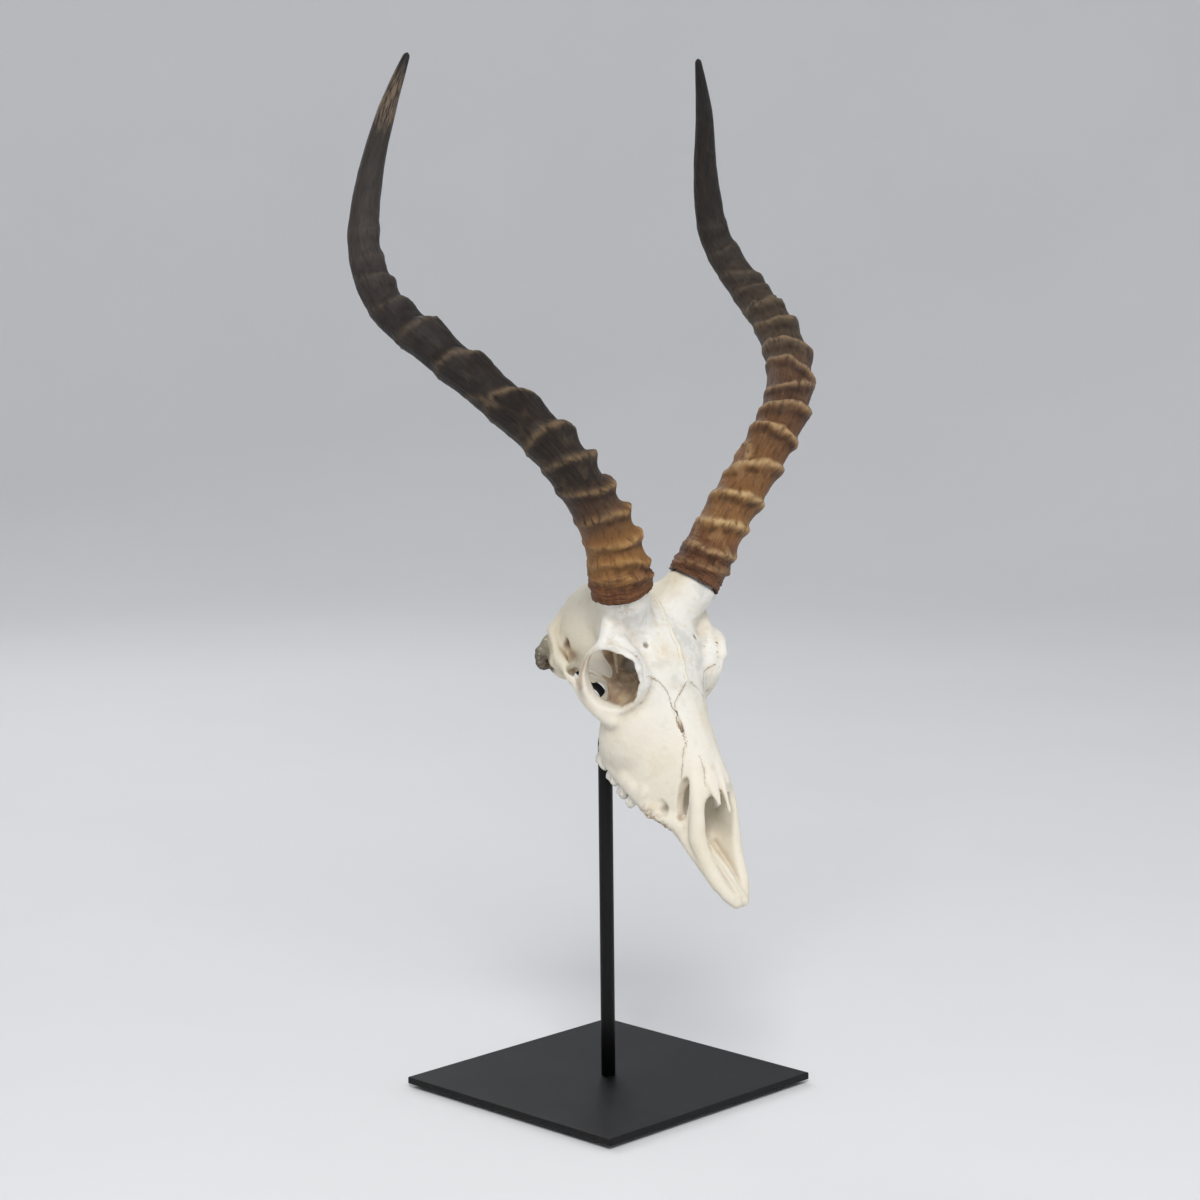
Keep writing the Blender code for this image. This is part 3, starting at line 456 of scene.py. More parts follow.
class Finish:
    """A small helper that builds one node material."""

    def __init__(self, name):
        self.material = bpy.data.materials.new(name)
        self.material.use_nodes = True
        self.tree = self.material.node_tree
        self.shader = self.tree.nodes["Principled BSDF"]
        self.place = self.node("ShaderNodeTexCoord").outputs["Object"]

    def node(self, kind, inputs=(), **settings):
        """A new node. Its inputs are (name or number, value or socket) pairs."""
        made = self.tree.nodes.new(kind)
        for key, value in settings.items():
            setattr(made, key, value)
        for key, value in inputs:
            self.feed(made.inputs[key], value)
        return made

    def feed(self, socket, value):
        if isinstance(value, bpy.types.NodeSocket):
            self.tree.links.new(value, socket)
        elif socket.type == "RGBA":
            socket.default_value = (*value, 1.0)
        else:
            socket.default_value = value

    def attribute(self, name, output="Fac"):
        return self.node("ShaderNodeAttribute", attribute_name=name).outputs[output]

    def stretch(self, vector, scale):
        return self.node("ShaderNodeMapping", [("Vector", vector), ("Scale", scale)]).outputs["Vector"]

    def noise(self, vector, scale, detail=4.0, rough=0.55, distortion=0.0):
        return self.node("ShaderNodeTexNoise", [
            ("Vector", vector), ("Scale", scale), ("Detail", detail), ("Roughness", rough),
            ("Distortion", distortion),
        ]).outputs["Fac"]

    def sum(self, operation, first, second=0.0, third=0.0):
        inputs = enumerate((first, second, third))
        return self.node("ShaderNodeMath", inputs, operation=operation).outputs[0]

    def times(self, first, second):
        return self.sum("MULTIPLY", first, second)

    def away(self, name, stray):
        """Distance from a seam whose line strays a little."""
        return self.sum("ABSOLUTE", self.sum("ADD", self.attribute(name), stray))

    def between(self, value, low, high):
        """0 below low, 1 above high, or the other way round when low is the larger."""
        swapped = low > high
        return self.node("ShaderNodeMapRange", [
            ("Value", value), ("From Min", min(low, high)), ("From Max", max(low, high)),
            ("To Min", float(swapped)), ("To Max", float(not swapped)),
        ], interpolation_type="SMOOTHSTEP").outputs["Result"]

    def mix(self, share, first, second):
        inputs = [("Factor", share), (6, first), (7, second)]
        return self.node("ShaderNodeMix", inputs, data_type="RGBA").outputs[2]

    def coat(self, colour, mask, strength, tone):
        """The colour under a thin coat, which covers it where the mask is 1."""
        return self.mix(self.times(mask, strength), colour, tone)

    def ramp(self, value, stops):
        """Colour read off a row of (place, colour) stops, for a value from 0 to 1."""
        made = self.node("ShaderNodeValToRGB", [("Fac", value)])
        points = made.color_ramp.elements
        for _ in stops[2:]:
            points.new(0.5)
        for point, (place, colour) in zip(points, stops):
            point.position = place
            point.color = (*colour, 1.0)
        return made.outputs["Color"]

    def bump(self, height, distance, strength=1.0, below=None):
        inputs = [("Height", height), ("Distance", distance), ("Strength", strength)]
        if below:
            inputs.append(("Normal", below))
        return self.node("ShaderNodeBump", inputs).outputs["Normal"]

    def finish(self, colour, roughness, normal=None, gloss=0.5):
        """The material itself, with its colour, roughness, bumps and strength of reflection."""
        for key, value in (("Base Color", colour), ("Roughness", roughness), ("Specular IOR Level", gloss)):
            self.feed(self.shader.inputs[key], value)
        if normal:
            self.feed(self.shader.inputs["Normal"], normal)
        return self.material


def srgb(red, green, blue):
    """A colour as read off a screen, from 0 to 255, as linear light."""
    return tuple(((value / 255 + 0.055) / 1.055) ** 2.4 if value > 10 else value / 255 / 12.92
                 for value in (red, green, blue))


def make_camera():
    """The camera, at the place and angle that show the stand as in the photograph."""
    turn = CAMERA_AZIMUTH + CAMERA_TURN
    ahead = Vector((-math.sin(turn) * math.cos(CAMERA_PITCH), math.cos(turn) * math.cos(CAMERA_PITCH),
                    -math.sin(CAMERA_PITCH)))
    level = Vector((math.cos(turn), math.sin(turn), 0.0))
    upright = level.cross(ahead)
    across = math.cos(CAMERA_ROLL) * level + math.sin(CAMERA_ROLL) * upright
    top = -math.sin(CAMERA_ROLL) * level + math.cos(CAMERA_ROLL) * upright
    place = Vector((math.sin(CAMERA_AZIMUTH) * CAMERA_DISTANCE,
                    -math.cos(CAMERA_AZIMUTH) * CAMERA_DISTANCE, CAMERA_HEIGHT))
    lens = bpy.data.cameras.new("camera")
    lens.lens = CAMERA_LENS
    lens.sensor_width = 36.0
    camera = bpy.data.objects.new("camera", lens)
    columns = Matrix((across, top, -ahead)).transposed().to_4x4()
    camera.matrix_world = Matrix.Translation(place) @ columns
    bpy.context.scene.collection.objects.link(camera)
    bpy.context.scene.camera = camera


def make_light(name, place, size, power, colour):
    lamp = bpy.data.lights.new(name, "AREA")
    lamp.energy = power
    lamp.size = size
    lamp.color = colour
    item = bpy.data.objects.new(name, lamp)
    item.location = place
    item.rotation_euler = (Vector(LIGHT_AIM) - Vector(place)).to_track_quat("-Z", "Y").to_euler()
    bpy.context.scene.collection.objects.link(item)


def make_stage():
    """A pale floor that turns up into a wall far behind, and soft light from above in front."""
    finish = Finish("pale_floor")
    grain = finish.noise(finish.place, 3.0)
    colour = finish.mix(grain, srgb(228, 229, 231), srgb(234, 235, 237))
    profile = [(radius, 0.0) for radius in FLOOR_RINGS]
    for step in range(1, BEND_STEPS + 1):
        turn = math.radians(90 * step / BEND_STEPS)
        profile.append((FLOOR_RINGS[-1] + WALL_BEND * math.sin(turn), WALL_BEND * (1 - math.cos(turn))))
    profile += [(FLOOR_RINGS[-1] + WALL_BEND, height) for height in WALL_HEIGHTS]
    points = turned(profile, FLOOR_SIDES) - (0, 0, FLOOR_DROP)
    floor = make_object("floor", points, tube_faces(len(profile), FLOOR_SIDES)[:2],
                        finish.finish(colour, 0.75))
    floor.visible_shadow = False
    world = bpy.data.worlds.new("studio")
    world.use_nodes = True
    back = world.node_tree.nodes["Background"]
    back.inputs["Color"].default_value = (*srgb(222, 224, 227), 1.0)
    back.inputs["Strength"].default_value = SKY_STRENGTH
    bpy.context.scene.world = world
    bpy.context.scene.view_settings.view_transform = "Standard"
    for light in LIGHTS:
        make_light(*light)


def steel_finish():
    """Satin black powder coat with a fine orange peel."""
    finish = Finish("black_steel")
    grain = finish.noise(finish.place, 900.0, 3.0)
    cloud = finish.noise(finish.place, 14.0, 4.0)
    colour = finish.mix(cloud, srgb(8, 8, 9), srgb(14, 14, 15))
    rough = finish.sum("MULTIPLY_ADD", cloud, 0.10, 0.42)
    return finish.finish(colour, rough, finish.bump(grain, 0.00006, 0.5), gloss=0.22)


def pad_finish():
    """Dark felt."""
    finish = Finish("dark_pad")
    fibres = finish.noise(finish.stretch(finish.place, (1, 1, 3)), 1400.0, 5.0, 0.7)
    colour = finish.mix(fibres, srgb(18, 18, 18), srgb(40, 39, 38))
    return finish.finish(colour, 0.95, finish.bump(fibres, 0.0004))


def make_stand():
    """Finishes of the plate and the pad, and a finer post and rod."""
    steel = steel_finish()
    for name, finish in (("base_plate", steel), ("base_pad", pad_finish())):
        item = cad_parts[name]
        item.data.materials.clear()
        item.data.materials.append(finish)

    shoulder = [
        (ROD_RADIUS + POST_LIP, POST_TOP), (POST_RADIUS - POST_LIP, POST_TOP - POST_SHOULDER / 2),
        (POST_RADIUS, POST_TOP - POST_SHOULDER),
    ]
    profile = [tuple(row) for row in smooth_rows(shoulder)][::-1]
    profile = [(POST_RADIUS, height) for height in (POST_FOOT, *POST_RINGS)] + profile
    post = make_object("post_detail", turned(profile, POST_SIDES) * MM,
                       tube_faces(len(profile), POST_SIDES), steel)
    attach(post, "root")
    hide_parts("post")

    rows = smooth_rows(ROD_PATH)
    ways = np.gradient(rows, axis=0)
    ways /= np.linalg.norm(ways, axis=1)[:, None]
    side = np.array([1.0, 0.0, 0.0])
    points = []
    for middle, way, reach in zip(rows, ways, [ROD_FOOT] + [1.0] * (len(rows) - 2) + [ROD_END]):
        upright = np.cross(way, side)
        for a in circle(ROD_SIDES):
            points.append(middle + ROD_RADIUS * reach * (math.cos(a) * side + math.sin(a) * upright))
    rod = make_object("skull_rod_detail", np.array(points) * MM, tube_faces(len(rows), ROD_SIDES),
                      steel)
    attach(rod, "root")
    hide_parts("skull_rod")


def grid_quads(rows, around):
    """Quads of a tube of rings, in rows, that close round the tube."""
    row, column = np.meshgrid(np.arange(rows - 1), np.arange(around), indexing="ij")
    onward = (column + 1) % around
    quads = np.stack([row * around + column, row * around + onward,
                      (row + 1) * around + onward, (row + 1) * around + column], -1)
    return quads.reshape(-1, 4)


def circle(sides):
    return np.linspace(0, 2 * math.pi, sides, endpoint=False)


def turned(profile, sides):
    """Points of a profile of (radius, height) turned round the upright axis."""
    return np.array([(radius * math.cos(a), radius * math.sin(a), height)
                     for radius, height in profile for a in circle(sides)])


def tube_faces(rows, around):
    """Faces of a tube of rings whose two ends are closed."""
    last = (rows - 1) * around
    caps = [np.arange(around)[None, ::-1], np.arange(last, last + around)[None, :]]
    return [grid_quads(rows, around)] + caps


def horn_line(name, distance):
    """Place and direction on a horn's middle line at each distance."""
    path = np.array(HORN_PATHS[name], float)
    lead = path[0] - path[1]
    path = np.vstack([path[0] + lead / np.linalg.norm(lead) * HORN_LINE_LEAD, path])
    points = smooth_rows(path, 16)
    steps = np.linalg.norm(np.diff(points, axis=0), axis=1)
    walked = np.concatenate([[0], np.cumsum(steps)]) - HORN_LINE_LEAD
    ways = np.gradient(points, walked, axis=0)
    middle = np.stack([np.interp(distance, walked, points[:, i]) for i in range(3)], -1)
    way = np.stack([np.interp(distance, walked, ways[:, i]) for i in range(3)], -1)
    return middle, way / np.linalg.norm(way, axis=-1, keepdims=True)


def horn_relief(name, distance, angle, place):
    """Height of the sheath above its plain form, and masks of crests and of painted shade in the grooves
    under them.
    """
    crest = np.zeros(distance.shape)
    groove_shade = np.zeros(distance.shape)
    rise = np.zeros(distance.shape)
    strong = 0.5 + 0.5 * np.cos(angle - math.radians(RING_PEAK[name]))
    share = RING_WEAK + (1 - RING_WEAK) * strong ** 1.3
    waver = 1.6 * lattice_noise(place / 9.0, 31) + 0.7 * lattice_noise(place / 3.6, 32)
    for i, (front, outer, behind, height, tip_width, base_width) in enumerate(HORN_RINGS[name]):
        turn = (behind - front) / 2
        sway = outer - front - turn
        line = front + turn * (1 - np.cos(angle)) - sway * np.sin(angle)
        gap = distance - line - waver
        shape = np.where(gap > 0, np.exp(-np.abs(gap / tip_width) ** 2.2),
                         np.exp(-np.abs(gap / base_width) ** 1.7))
        uneven = 1 + 0.22 * lattice_noise(place / 14.0 + 3.1 * i, 40 + i)
        rise = np.maximum(rise, height * uneven * shape)
        crest = np.maximum(crest, np.exp(-((gap - 0.3) / 2.3) ** 2) * min(1.0, height / 3.4))
        # painted shade: a mask of the grooves on the base side just below each crest
        groove_shade = np.maximum(groove_shade, np.exp(-((gap + base_width) / 2.8) ** 2))
    for points, height in HORN_FORKS[name]:
        rows = smooth_rows(points)
        gap = np.full(distance.shape, 1e3)
        for (near, turn), (far, onward) in zip(rows, rows[1:]):
            round_by = (angle - math.radians(turn) + math.pi) % (2 * math.pi) - math.pi
            x, y = distance - near, FORK_RADIUS * round_by
            step = np.array([far - near, FORK_RADIUS * math.radians(onward - turn)])
            part = np.clip((x * step[0] + y * step[1]) / (step @ step), 0, 1)
            gap = np.minimum(gap, np.hypot(x - part * step[0], y - part * step[1]))
        ridge = np.exp(-(gap / 2.4) ** 2)
        rise = np.maximum(rise, height * ridge)
        crest = np.maximum(crest, 0.9 * ridge)
    beads = 0.42 * lattice_noise(place / (2.6, 2.6, 3.4), 35) + 0.3 * lattice_noise(place / 1.5, 36)
    fade = smooth_step(RINGS_END, RINGS_FADE_FROM, distance)
    lift = share * (rise - RING_SINK * fade) + crest * beads
    return lift, crest * (0.30 + 0.70 * share), groove_shade * share


def make_horn(name, finish):
    """One sheath: rings of points from the seat inside its rim, out and up to the tip."""
    side = SIDES[name]
    rim = HORN_RIM[name]
    distances = np.concatenate([np.arange(rim, RINGS_END, HORN_STEP),
                                np.linspace(RINGS_END, HORN_TIP, TIP_STEPS)[1:]])
    angles = circle(HORN_AROUND)
    distance, angle = np.meshgrid(distances, angles, indexing="ij")
    cloud = np.stack([20 * np.cos(angle), 20 * np.sin(angle), distance + 500 * (side + 1)], -1)
    flat = cloud.reshape(-1, 3)

    ragged = 1.3 * layered_noise(flat / 7.0, 11).reshape(distance.shape)
    near_rim = smooth_step(rim + 14, rim, distance)
    along = distance + near_rim * (ragged + 0.6)
    middle, way = horn_line(name, along)
    facing = np.array([HORN_FACING[0] * -side, HORN_FACING[1], HORN_FACING[2]])
    front = np.cross(facing, way) * -side
    front /= np.linalg.norm(front, axis=-1, keepdims=True)
    across = np.cross(way, front)
    table = np.array(HORN_GIRTH)
    long_radius = np.interp(along, table[:, 0], table[:, 1])
    cross_radius = np.interp(along, table[:, 0], table[:, 2])
    lift, crest, groove_shade = [part.reshape(distance.shape) for part in horn_relief(
        name, distance.ravel(), angle.ravel(), flat)]

    layers = lattice_noise(flat * (0.07, 0.07, 0.55), 12)
    layers += 0.6 * lattice_noise(flat * (0.12, 0.12, 1.1), 13)
    ribs = lattice_noise(flat * (0.34, 0.34, 0.045), 14)
    ribs += 0.6 * lattice_noise(flat * (0.7, 0.7, 0.09), 15)
    lumps = layered_noise(flat / 11.0, 16)
    layers, ribs, lumps = [noise.reshape(distance.shape) for noise in (layers, ribs, lumps)]
    upper = smooth_step(330, 250, distance)
    lift = lift + 0.85 * smooth_step(34, 4, distance) * layers + 0.14 * layers * upper
    lift += 0.26 * ribs * (0.35 + 0.65 * upper) * smooth_step(440, 380, distance)
    lift += 0.34 * lumps * smooth_step(440, 300, distance)
    tip = np.sqrt(np.clip((HORN_TIP - distance) / 2.2, 0, 1))
    points = middle + front * (np.cos(angle) * (long_radius + lift) * tip)[..., None]
    points += across * (np.sin(angle) * (cross_radius + lift) * tip)[..., None]

    inner = []
    for depth, inset in RIM_FOLDS:
        middle = horn_line(name, np.full(HORN_AROUND, rim + depth))[0]
        ring = middle + front[0] * (np.cos(angles) * (long_radius[0] - inset))[:, None]
        inner.append(ring + across[0] * (np.sin(angles) * (cross_radius[0] - inset))[:, None])
    points = np.concatenate([np.stack(inner[::-1]), points]).reshape(-1, 3)
    masks = {"crest": crest, "groove_shade": groove_shade, "reach": distance / 100, "hornspace": cloud / 100}
    for word, values in masks.items():
        values = np.concatenate([np.repeat(values[:1], len(inner), axis=0), values])
        masks[word] = values.reshape(-1, 3) if word == "hornspace" else values.ravel()
    faces = tube_faces(len(distances) + len(inner), HORN_AROUND)
    horn = make_object(f"horn_{name}_detail", points * MM, faces, finish, masks)
    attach(horn, "root")
    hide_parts(f"horn_{name}")


def horn_finish(name):
    """Horn keratin, whose colour changes along the horn, with pale crests, fine fibres and painted shade in
    the grooves under the rings.
    """
    finish = Finish(f"horn_sheath_{name}")
    between, times = finish.between, finish.times
    space = finish.attribute("hornspace", "Vector")
    reach = finish.attribute("reach")
    fibre = finish.noise(finish.stretch(space, (1.0, 1.0, 0.06)), 62.0, 5.0, 0.65)
    hair = finish.noise(finish.stretch(space, (1.0, 1.0, 0.035)), 150.0, 3.0, 0.6)
    cloud = finish.noise(space, 9.0, 5.0, 0.6, 0.4)
    smudge = finish.noise(finish.stretch(space, (1.0, 1.0, 0.45)), 26.0, 4.0, 0.6)
    layer = finish.noise(finish.stretch(space, (0.10, 0.10, 1.0)), 60.0, 5.0, 0.65, 0.6)

    drift = finish.sum("MULTIPLY_ADD", finish.sum("SUBTRACT", cloud, 0.5), 0.45, reach)
    share = finish.sum("DIVIDE", drift, HORN_TIP / 100)
    colour, pale = [finish.ramp(share, [(at / HORN_TIP, srgb(*tone)) for at, *tone in table[name]])
                    for table in (HORN_COLOURS, CREST_COLOURS)]
    dark = finish.mix(0.55, colour, (0.0, 0.0, 0.0))
    light = finish.mix(0.22, colour, pale)
    near_rim = between(reach, 0.34, 0.10)
    coats = [
        (between(smudge, 0.52, 0.34), 0.75, dark),
        (between(cloud, 0.52, 0.68), 0.7, light),
        (times(near_rim, between(layer, 0.50, 0.40)), 0.72, srgb(50, 28, 20)),
        (between(fibre, 0.44, 0.62), 0.30, light),
        # painted shade: near black in the grooves just below each ring's crest
        (times(finish.attribute("groove_shade"), between(cloud, 0.72, 0.34)), 0.78, srgb(28, 18, 14)),
        (times(finish.attribute("crest"), between(smudge, 0.30, 0.55)), 0.85, pale),
        (between(hair, 0.54, 0.40), 0.30, dark),
    ]
    if name == "right":
        patch = times(between(drift, 3.92, 4.06), between(drift, 4.42, 4.28))
        coats.append((times(patch, between(smudge, 0.42, 0.58)), 0.7, srgb(128, 108, 86)))
    for mask, strength, tone in coats:
        colour = finish.coat(colour, mask, strength, tone)

    rough = finish.sum("MULTIPLY_ADD", smudge, 0.22, 0.38)
    rough = finish.sum("SUBTRACT", rough, times(between(reach, 3.2, 4.0), 0.10))
    lines = finish.bump(fibre, 0.0009, 0.7)
    lines = finish.bump(hair, 0.0005, 0.6, lines)
    grown = finish.bump(times(layer, near_rim), 0.0026, 0.8, lines)
    return finish.finish(colour, rough, grown, gloss=0.20)


class Bone:
    """Signed distance to the bone surface on a grid, negative inside, over one half or the whole."""

    def __init__(self, low, high):
        self.axes = [np.arange(a, b + BONE_PITCH / 2, BONE_PITCH, dtype=np.float32)
                     for a, b in zip(low, high)]
        self.values = np.full([len(axis) for axis in self.axes], BONE_REACH, np.float32)

    def block(self, low, high, margin=BONE_REACH):
        cuts = []
        for axis, a, b in zip(self.axes, low, high):
            start, stop = np.searchsorted(axis, (a - margin, b + margin))
            cuts.append(slice(start, stop))
        x, f, u = [axis[cut] for axis, cut in zip(self.axes, cuts)]
        return tuple(cuts), x[:, None, None], f[None, :, None], u[None, None, :]

    def form(self, cuts, distance, blend, hollow=False):
        """Adds a form to the bone, or cuts it out, with a soft edge as wide as the blend."""
        sign = -1 if hollow else 1
        old = sign * self.values[cuts]
        share = np.clip(0.5 + 0.5 * (old - distance) / blend, 0, 1)
        self.values[cuts] = sign * (old + (distance - old) * share - blend * share * (1 - share))

    def lump(self, centre, radii, tilt, blend, hollow=False):
        reach = max(radii)
        cuts, x, f, u = self.block([c - reach for c in centre], [c + reach for c in centre])
        lean = math.radians(tilt)
        df, du = f - centre[1], u - centre[2]
        a = (x - centre[0]) / radii[0]
        b = (df * math.cos(lean) + du * math.sin(lean)) / radii[1]
        c = (du * math.cos(lean) - df * math.sin(lean)) / radii[2]
        near = np.sqrt(a * a + b * b + c * c)
        slope = np.sqrt((a / radii[0]) ** 2 + (b / radii[1]) ** 2 + (c / radii[2]) ** 2)
        distance = near * (near - 1) / np.maximum(slope, 1e-4)
        self.form(cuts, distance, blend, hollow)

    def bar(self, points, blend, hollow=False):
        rows = smooth_rows(points)
        reach = rows[:, 3].max()
        cuts, x, f, u = self.block(rows[:, :3].min(0) - reach, rows[:, :3].max(0) + reach)
        best = np.float32(1e3)
        for p, q in zip(rows, rows[1:]):
            d = q - p
            share = ((x - p[0]) * d[0] + (f - p[1]) * d[1] + (u - p[2]) * d[2]) / (d[:3] @ d[:3])
            share = np.clip(share, 0, 1)
            gap = np.sqrt((x - p[0] - share * d[0]) ** 2 + (f - p[1] - share * d[1]) ** 2
                          + (u - p[2] - share * d[2]) ** 2)
            best = np.minimum(best, gap - (p[3] + share * d[3]))
        self.form(cuts, best, blend, hollow)

    def loft(self, sections, blend, hollow=False):
        places = np.array([row[0] for row in sections], float)
        outlines = np.array([smooth_rows(row[1], 3) for row in sections])
        wide, high, low = outlines[..., 0].max(), outlines[..., 1].max(), outlines[..., 1].min()
        cuts, x, f, u = self.block((0, places[0], low), (wide, places[-1], high))
        flat = np.hstack([places[:, None], outlines.reshape(len(places), -1)])
        dense = smooth_rows(flat, 8)
        x2, u2 = x[:, 0], u[0]
        distance = np.empty((x.shape[0], f.shape[1], u.shape[2]), np.float32)
        for i, at in enumerate(f[0, :, 0]):
            inside_at = np.clip(at, places[0], places[-1])
            outline = np.array([np.interp(inside_at, dense[:, 0], dense[:, 1 + j])
                                for j in range(flat.shape[1] - 1)]).reshape(-1, 2)
            gap = np.full((x.shape[0], u.shape[2]), 1e3, np.float32)
            within = np.zeros(gap.shape, bool)
            for p, q in zip(outline, outline[1:]):
                d = q - p
                share = np.clip(((x2 - p[0]) * d[0] + (u2 - p[1]) * d[1]) / max(d @ d, 1e-9), 0, 1)
                gap = np.minimum(gap, np.hypot(x2 - p[0] - share * d[0], u2 - p[1] - share * d[1]))
                crosses = (p[1] > u2) != (q[1] > u2)
                at_x = p[0] + (u2 - p[1]) * d[0] / (d[1] if abs(d[1]) > 1e-9 else 1e-9)
                within ^= crosses & (x2 < at_x)
            signed = np.where(within, -gap, gap)
            distance[:, i] = np.maximum(signed, max(places[0] - at, at - places[-1]))
        self.form(cuts, distance, blend, hollow)


def unit(vector):
    vector = np.asarray(vector, float)
    return vector / np.linalg.norm(vector)


def orbit_axes():
    """Directions out of the eye socket, ahead round its rim, and up."""
    facing = unit(ORBIT_FACING)
    ahead = unit(np.cross((0, 0, 1), facing))
    return facing, ahead, np.cross(facing, ahead)


def orbit_outline(angle):
    """Radius of the edge, and half width of the band, at angles in degrees."""
    table = np.array(ORBIT_OUTLINE)
    return [np.interp(angle, table[:, 0], table[:, column], period=360) for column in (1, 2)]


def orbit_space(bone, margin):
    """Depth in front of the eye socket's plane, distance from its middle, and angle round it."""
    reach = max(row[1] + 2 * row[2] for row in ORBIT_OUTLINE)
    centre = np.array(ORBIT_CENTRE)
    cuts, x, f, u = bone.block(centre - reach, centre + reach, margin)
    dx, df, du = x - centre[0], f - centre[1], u - centre[2]
    depth, onward, rise = [dx * way[0] + df * way[1] + du * way[2] for way in orbit_axes()]
    return cuts, depth, np.hypot(onward, rise), np.degrees(np.arctan2(rise, onward))


def orbit_ring(bone):
    """Rim of the eye socket: a broad smooth band behind and below, thin and flush in front."""
    cuts, depth, across, angle = orbit_space(bone, 6)
    edge, band = orbit_outline(angle)
    distance = np.hypot(across - edge - 0.92 * band, (depth + 2.2 - 0.4 * band) * 0.8) - band
    bone.form(cuts, distance.astype(np.float32), BAR_BLEND)


def orbit_hollow(bone):
    """The eye socket itself, with a broken edge in front and above."""
    cuts, depth, across, angle = orbit_space(bone, 8)
    front = smooth_step(-70, -40, angle) * smooth_step(120, 90, angle)
    cloud = np.stack([angle / 7.0, depth / 9.0, 0 * depth], -1).reshape(-1, 3)
    edge = orbit_outline(angle)[0] + 0.9 * front * lattice_noise(cloud, 61).reshape(angle.shape)
    near = np.hypot(across / edge, depth / ORBIT_DEPTH)
    slope = np.hypot(across / edge ** 2, depth / ORBIT_DEPTH ** 2)
    distance = near * (near - 1) / np.maximum(slope, 1e-4)
    distance = np.where(near < 0.3, -9.0, distance).astype(np.float32)
    bone.form(cuts, distance, ORBIT_BLEND, hollow=True)


def to_skull(world, turn_only=False):
    """World points, or directions, in millimetres in the skull's own frame."""
    lean = math.radians(NOSE_DOWN)
    x, y, z = np.asarray(world, float) - (0.0 if turn_only else np.array(SKULL_ORIGIN))
    return np.array([x, -(y * math.cos(lean) + z * math.sin(lean)),
                     z * math.cos(lean) - y * math.sin(lean)])


def orbit_inside(points, normals):
    """1 on the walls inside either eye socket and 0 outside it."""
    facing, ahead, upward = orbit_axes()
    fold = np.where(points[:, :1] < 0, (-1.0, 1.0, 1.0), (1.0, 1.0, 1.0))
    offset = points * fold - np.array(ORBIT_CENTRE)
    lean = normals * fold
    depth, onward, rise = offset @ facing, offset @ ahead, offset @ upward
    edge = orbit_outline(np.degrees(np.arctan2(rise, onward)))[0]
    across = np.maximum(np.hypot(onward, rise), 1e-6)
    inner = across - edge * np.sqrt(np.clip(1 - (depth / ORBIT_DEPTH) ** 2, 0.02, 1))
    away = ((lean @ ahead) * onward + (lean @ upward) * rise) / across - np.maximum(lean @ facing, 0)
    inside = smooth_step(-1.5, -6.0, depth) * smooth_step(3.0, 1.2, inner) * smooth_step(-34, -28, depth)
    return inside * smooth_step(0.35, -0.1, away)


def trim_horn_cores(bone):
    """Bone cut back where it stands inside a horn, so that it stays clear of the sheath."""
    for word in SIDES:
        middle, way = horn_line(word, np.array([HORN_RIM[word]]))
        centre, axis = to_skull(middle[0]), to_skull(way[0], turn_only=True)
        cuts, x, f, u = bone.block(centre - 30, centre + 30)
        dx, df, du = x - centre[0], f - centre[1], u - centre[2]
        along = dx * axis[0] + df * axis[1] + du * axis[2]
        off = np.sqrt(np.maximum(dx * dx + df * df + du * du - along * along, 0))
        limit = np.interp(along, (-2.0, 0.5), (19.0, HORN_CORE_RADIUS))
        cut = np.where(along > -2.0, off - limit, -BONE_REACH)
        bone.values[cuts] = np.maximum(bone.values[cuts], cut.astype(np.float32))


def grow_bone():
    """The skull as one body of distances, one side mirrored and then the single bars."""
    half = Bone((BONE_PITCH / 2, *BONE_LOW), BONE_HIGH)
    for centre, radii, tilt in LUMPS.values():
        half.lump(centre, radii, tilt, LUMP_BLEND)
    half.loft(FACE_SECTIONS, LUMP_BLEND)
    for centre, radii, tilt in SOFT_LUMPS.values():
        half.lump(centre, radii, tilt, SOFT_BLEND)
    for name, points in BARS.items():
        half.bar(points, WIDE_BLEND if name in WIDE_BARS else BAR_BLEND)
    orbit_ring(half)
    orbit_hollow(half)
    half.loft(NOSE_SECTIONS, HOLLOW_BLEND, hollow=True)
    for centre, radii, tilt in HOLLOWS.values():
        half.lump(centre, radii, tilt, HOLLOW_BLEND, hollow=True)
    half.loft(FLOOR_SECTIONS, HOLLOW_BLEND)
    for centre, radii, tilt in BULGES:
        half.lump(centre, radii, tilt, BULGE_BLEND)
    for points in LATE_BARS.values():
        half.bar(points, HOLLOW_BLEND)
    for points in LATE_CUTS.values():
        half.bar(points, CUT_BLEND, hollow=True)
    whole = Bone((BONE_PITCH / 2 - BONE_HIGH[0], *BONE_LOW), BONE_HIGH)
    whole.values = np.concatenate([half.values[::-1], half.values])
    whole.axes[0] = np.concatenate([-half.axes[0][::-1], half.axes[0]])
    for points in SINGLE_BARS.values():
        whole.bar(points, HOLLOW_BLEND)
    trim_horn_cores(whole)
    return whole


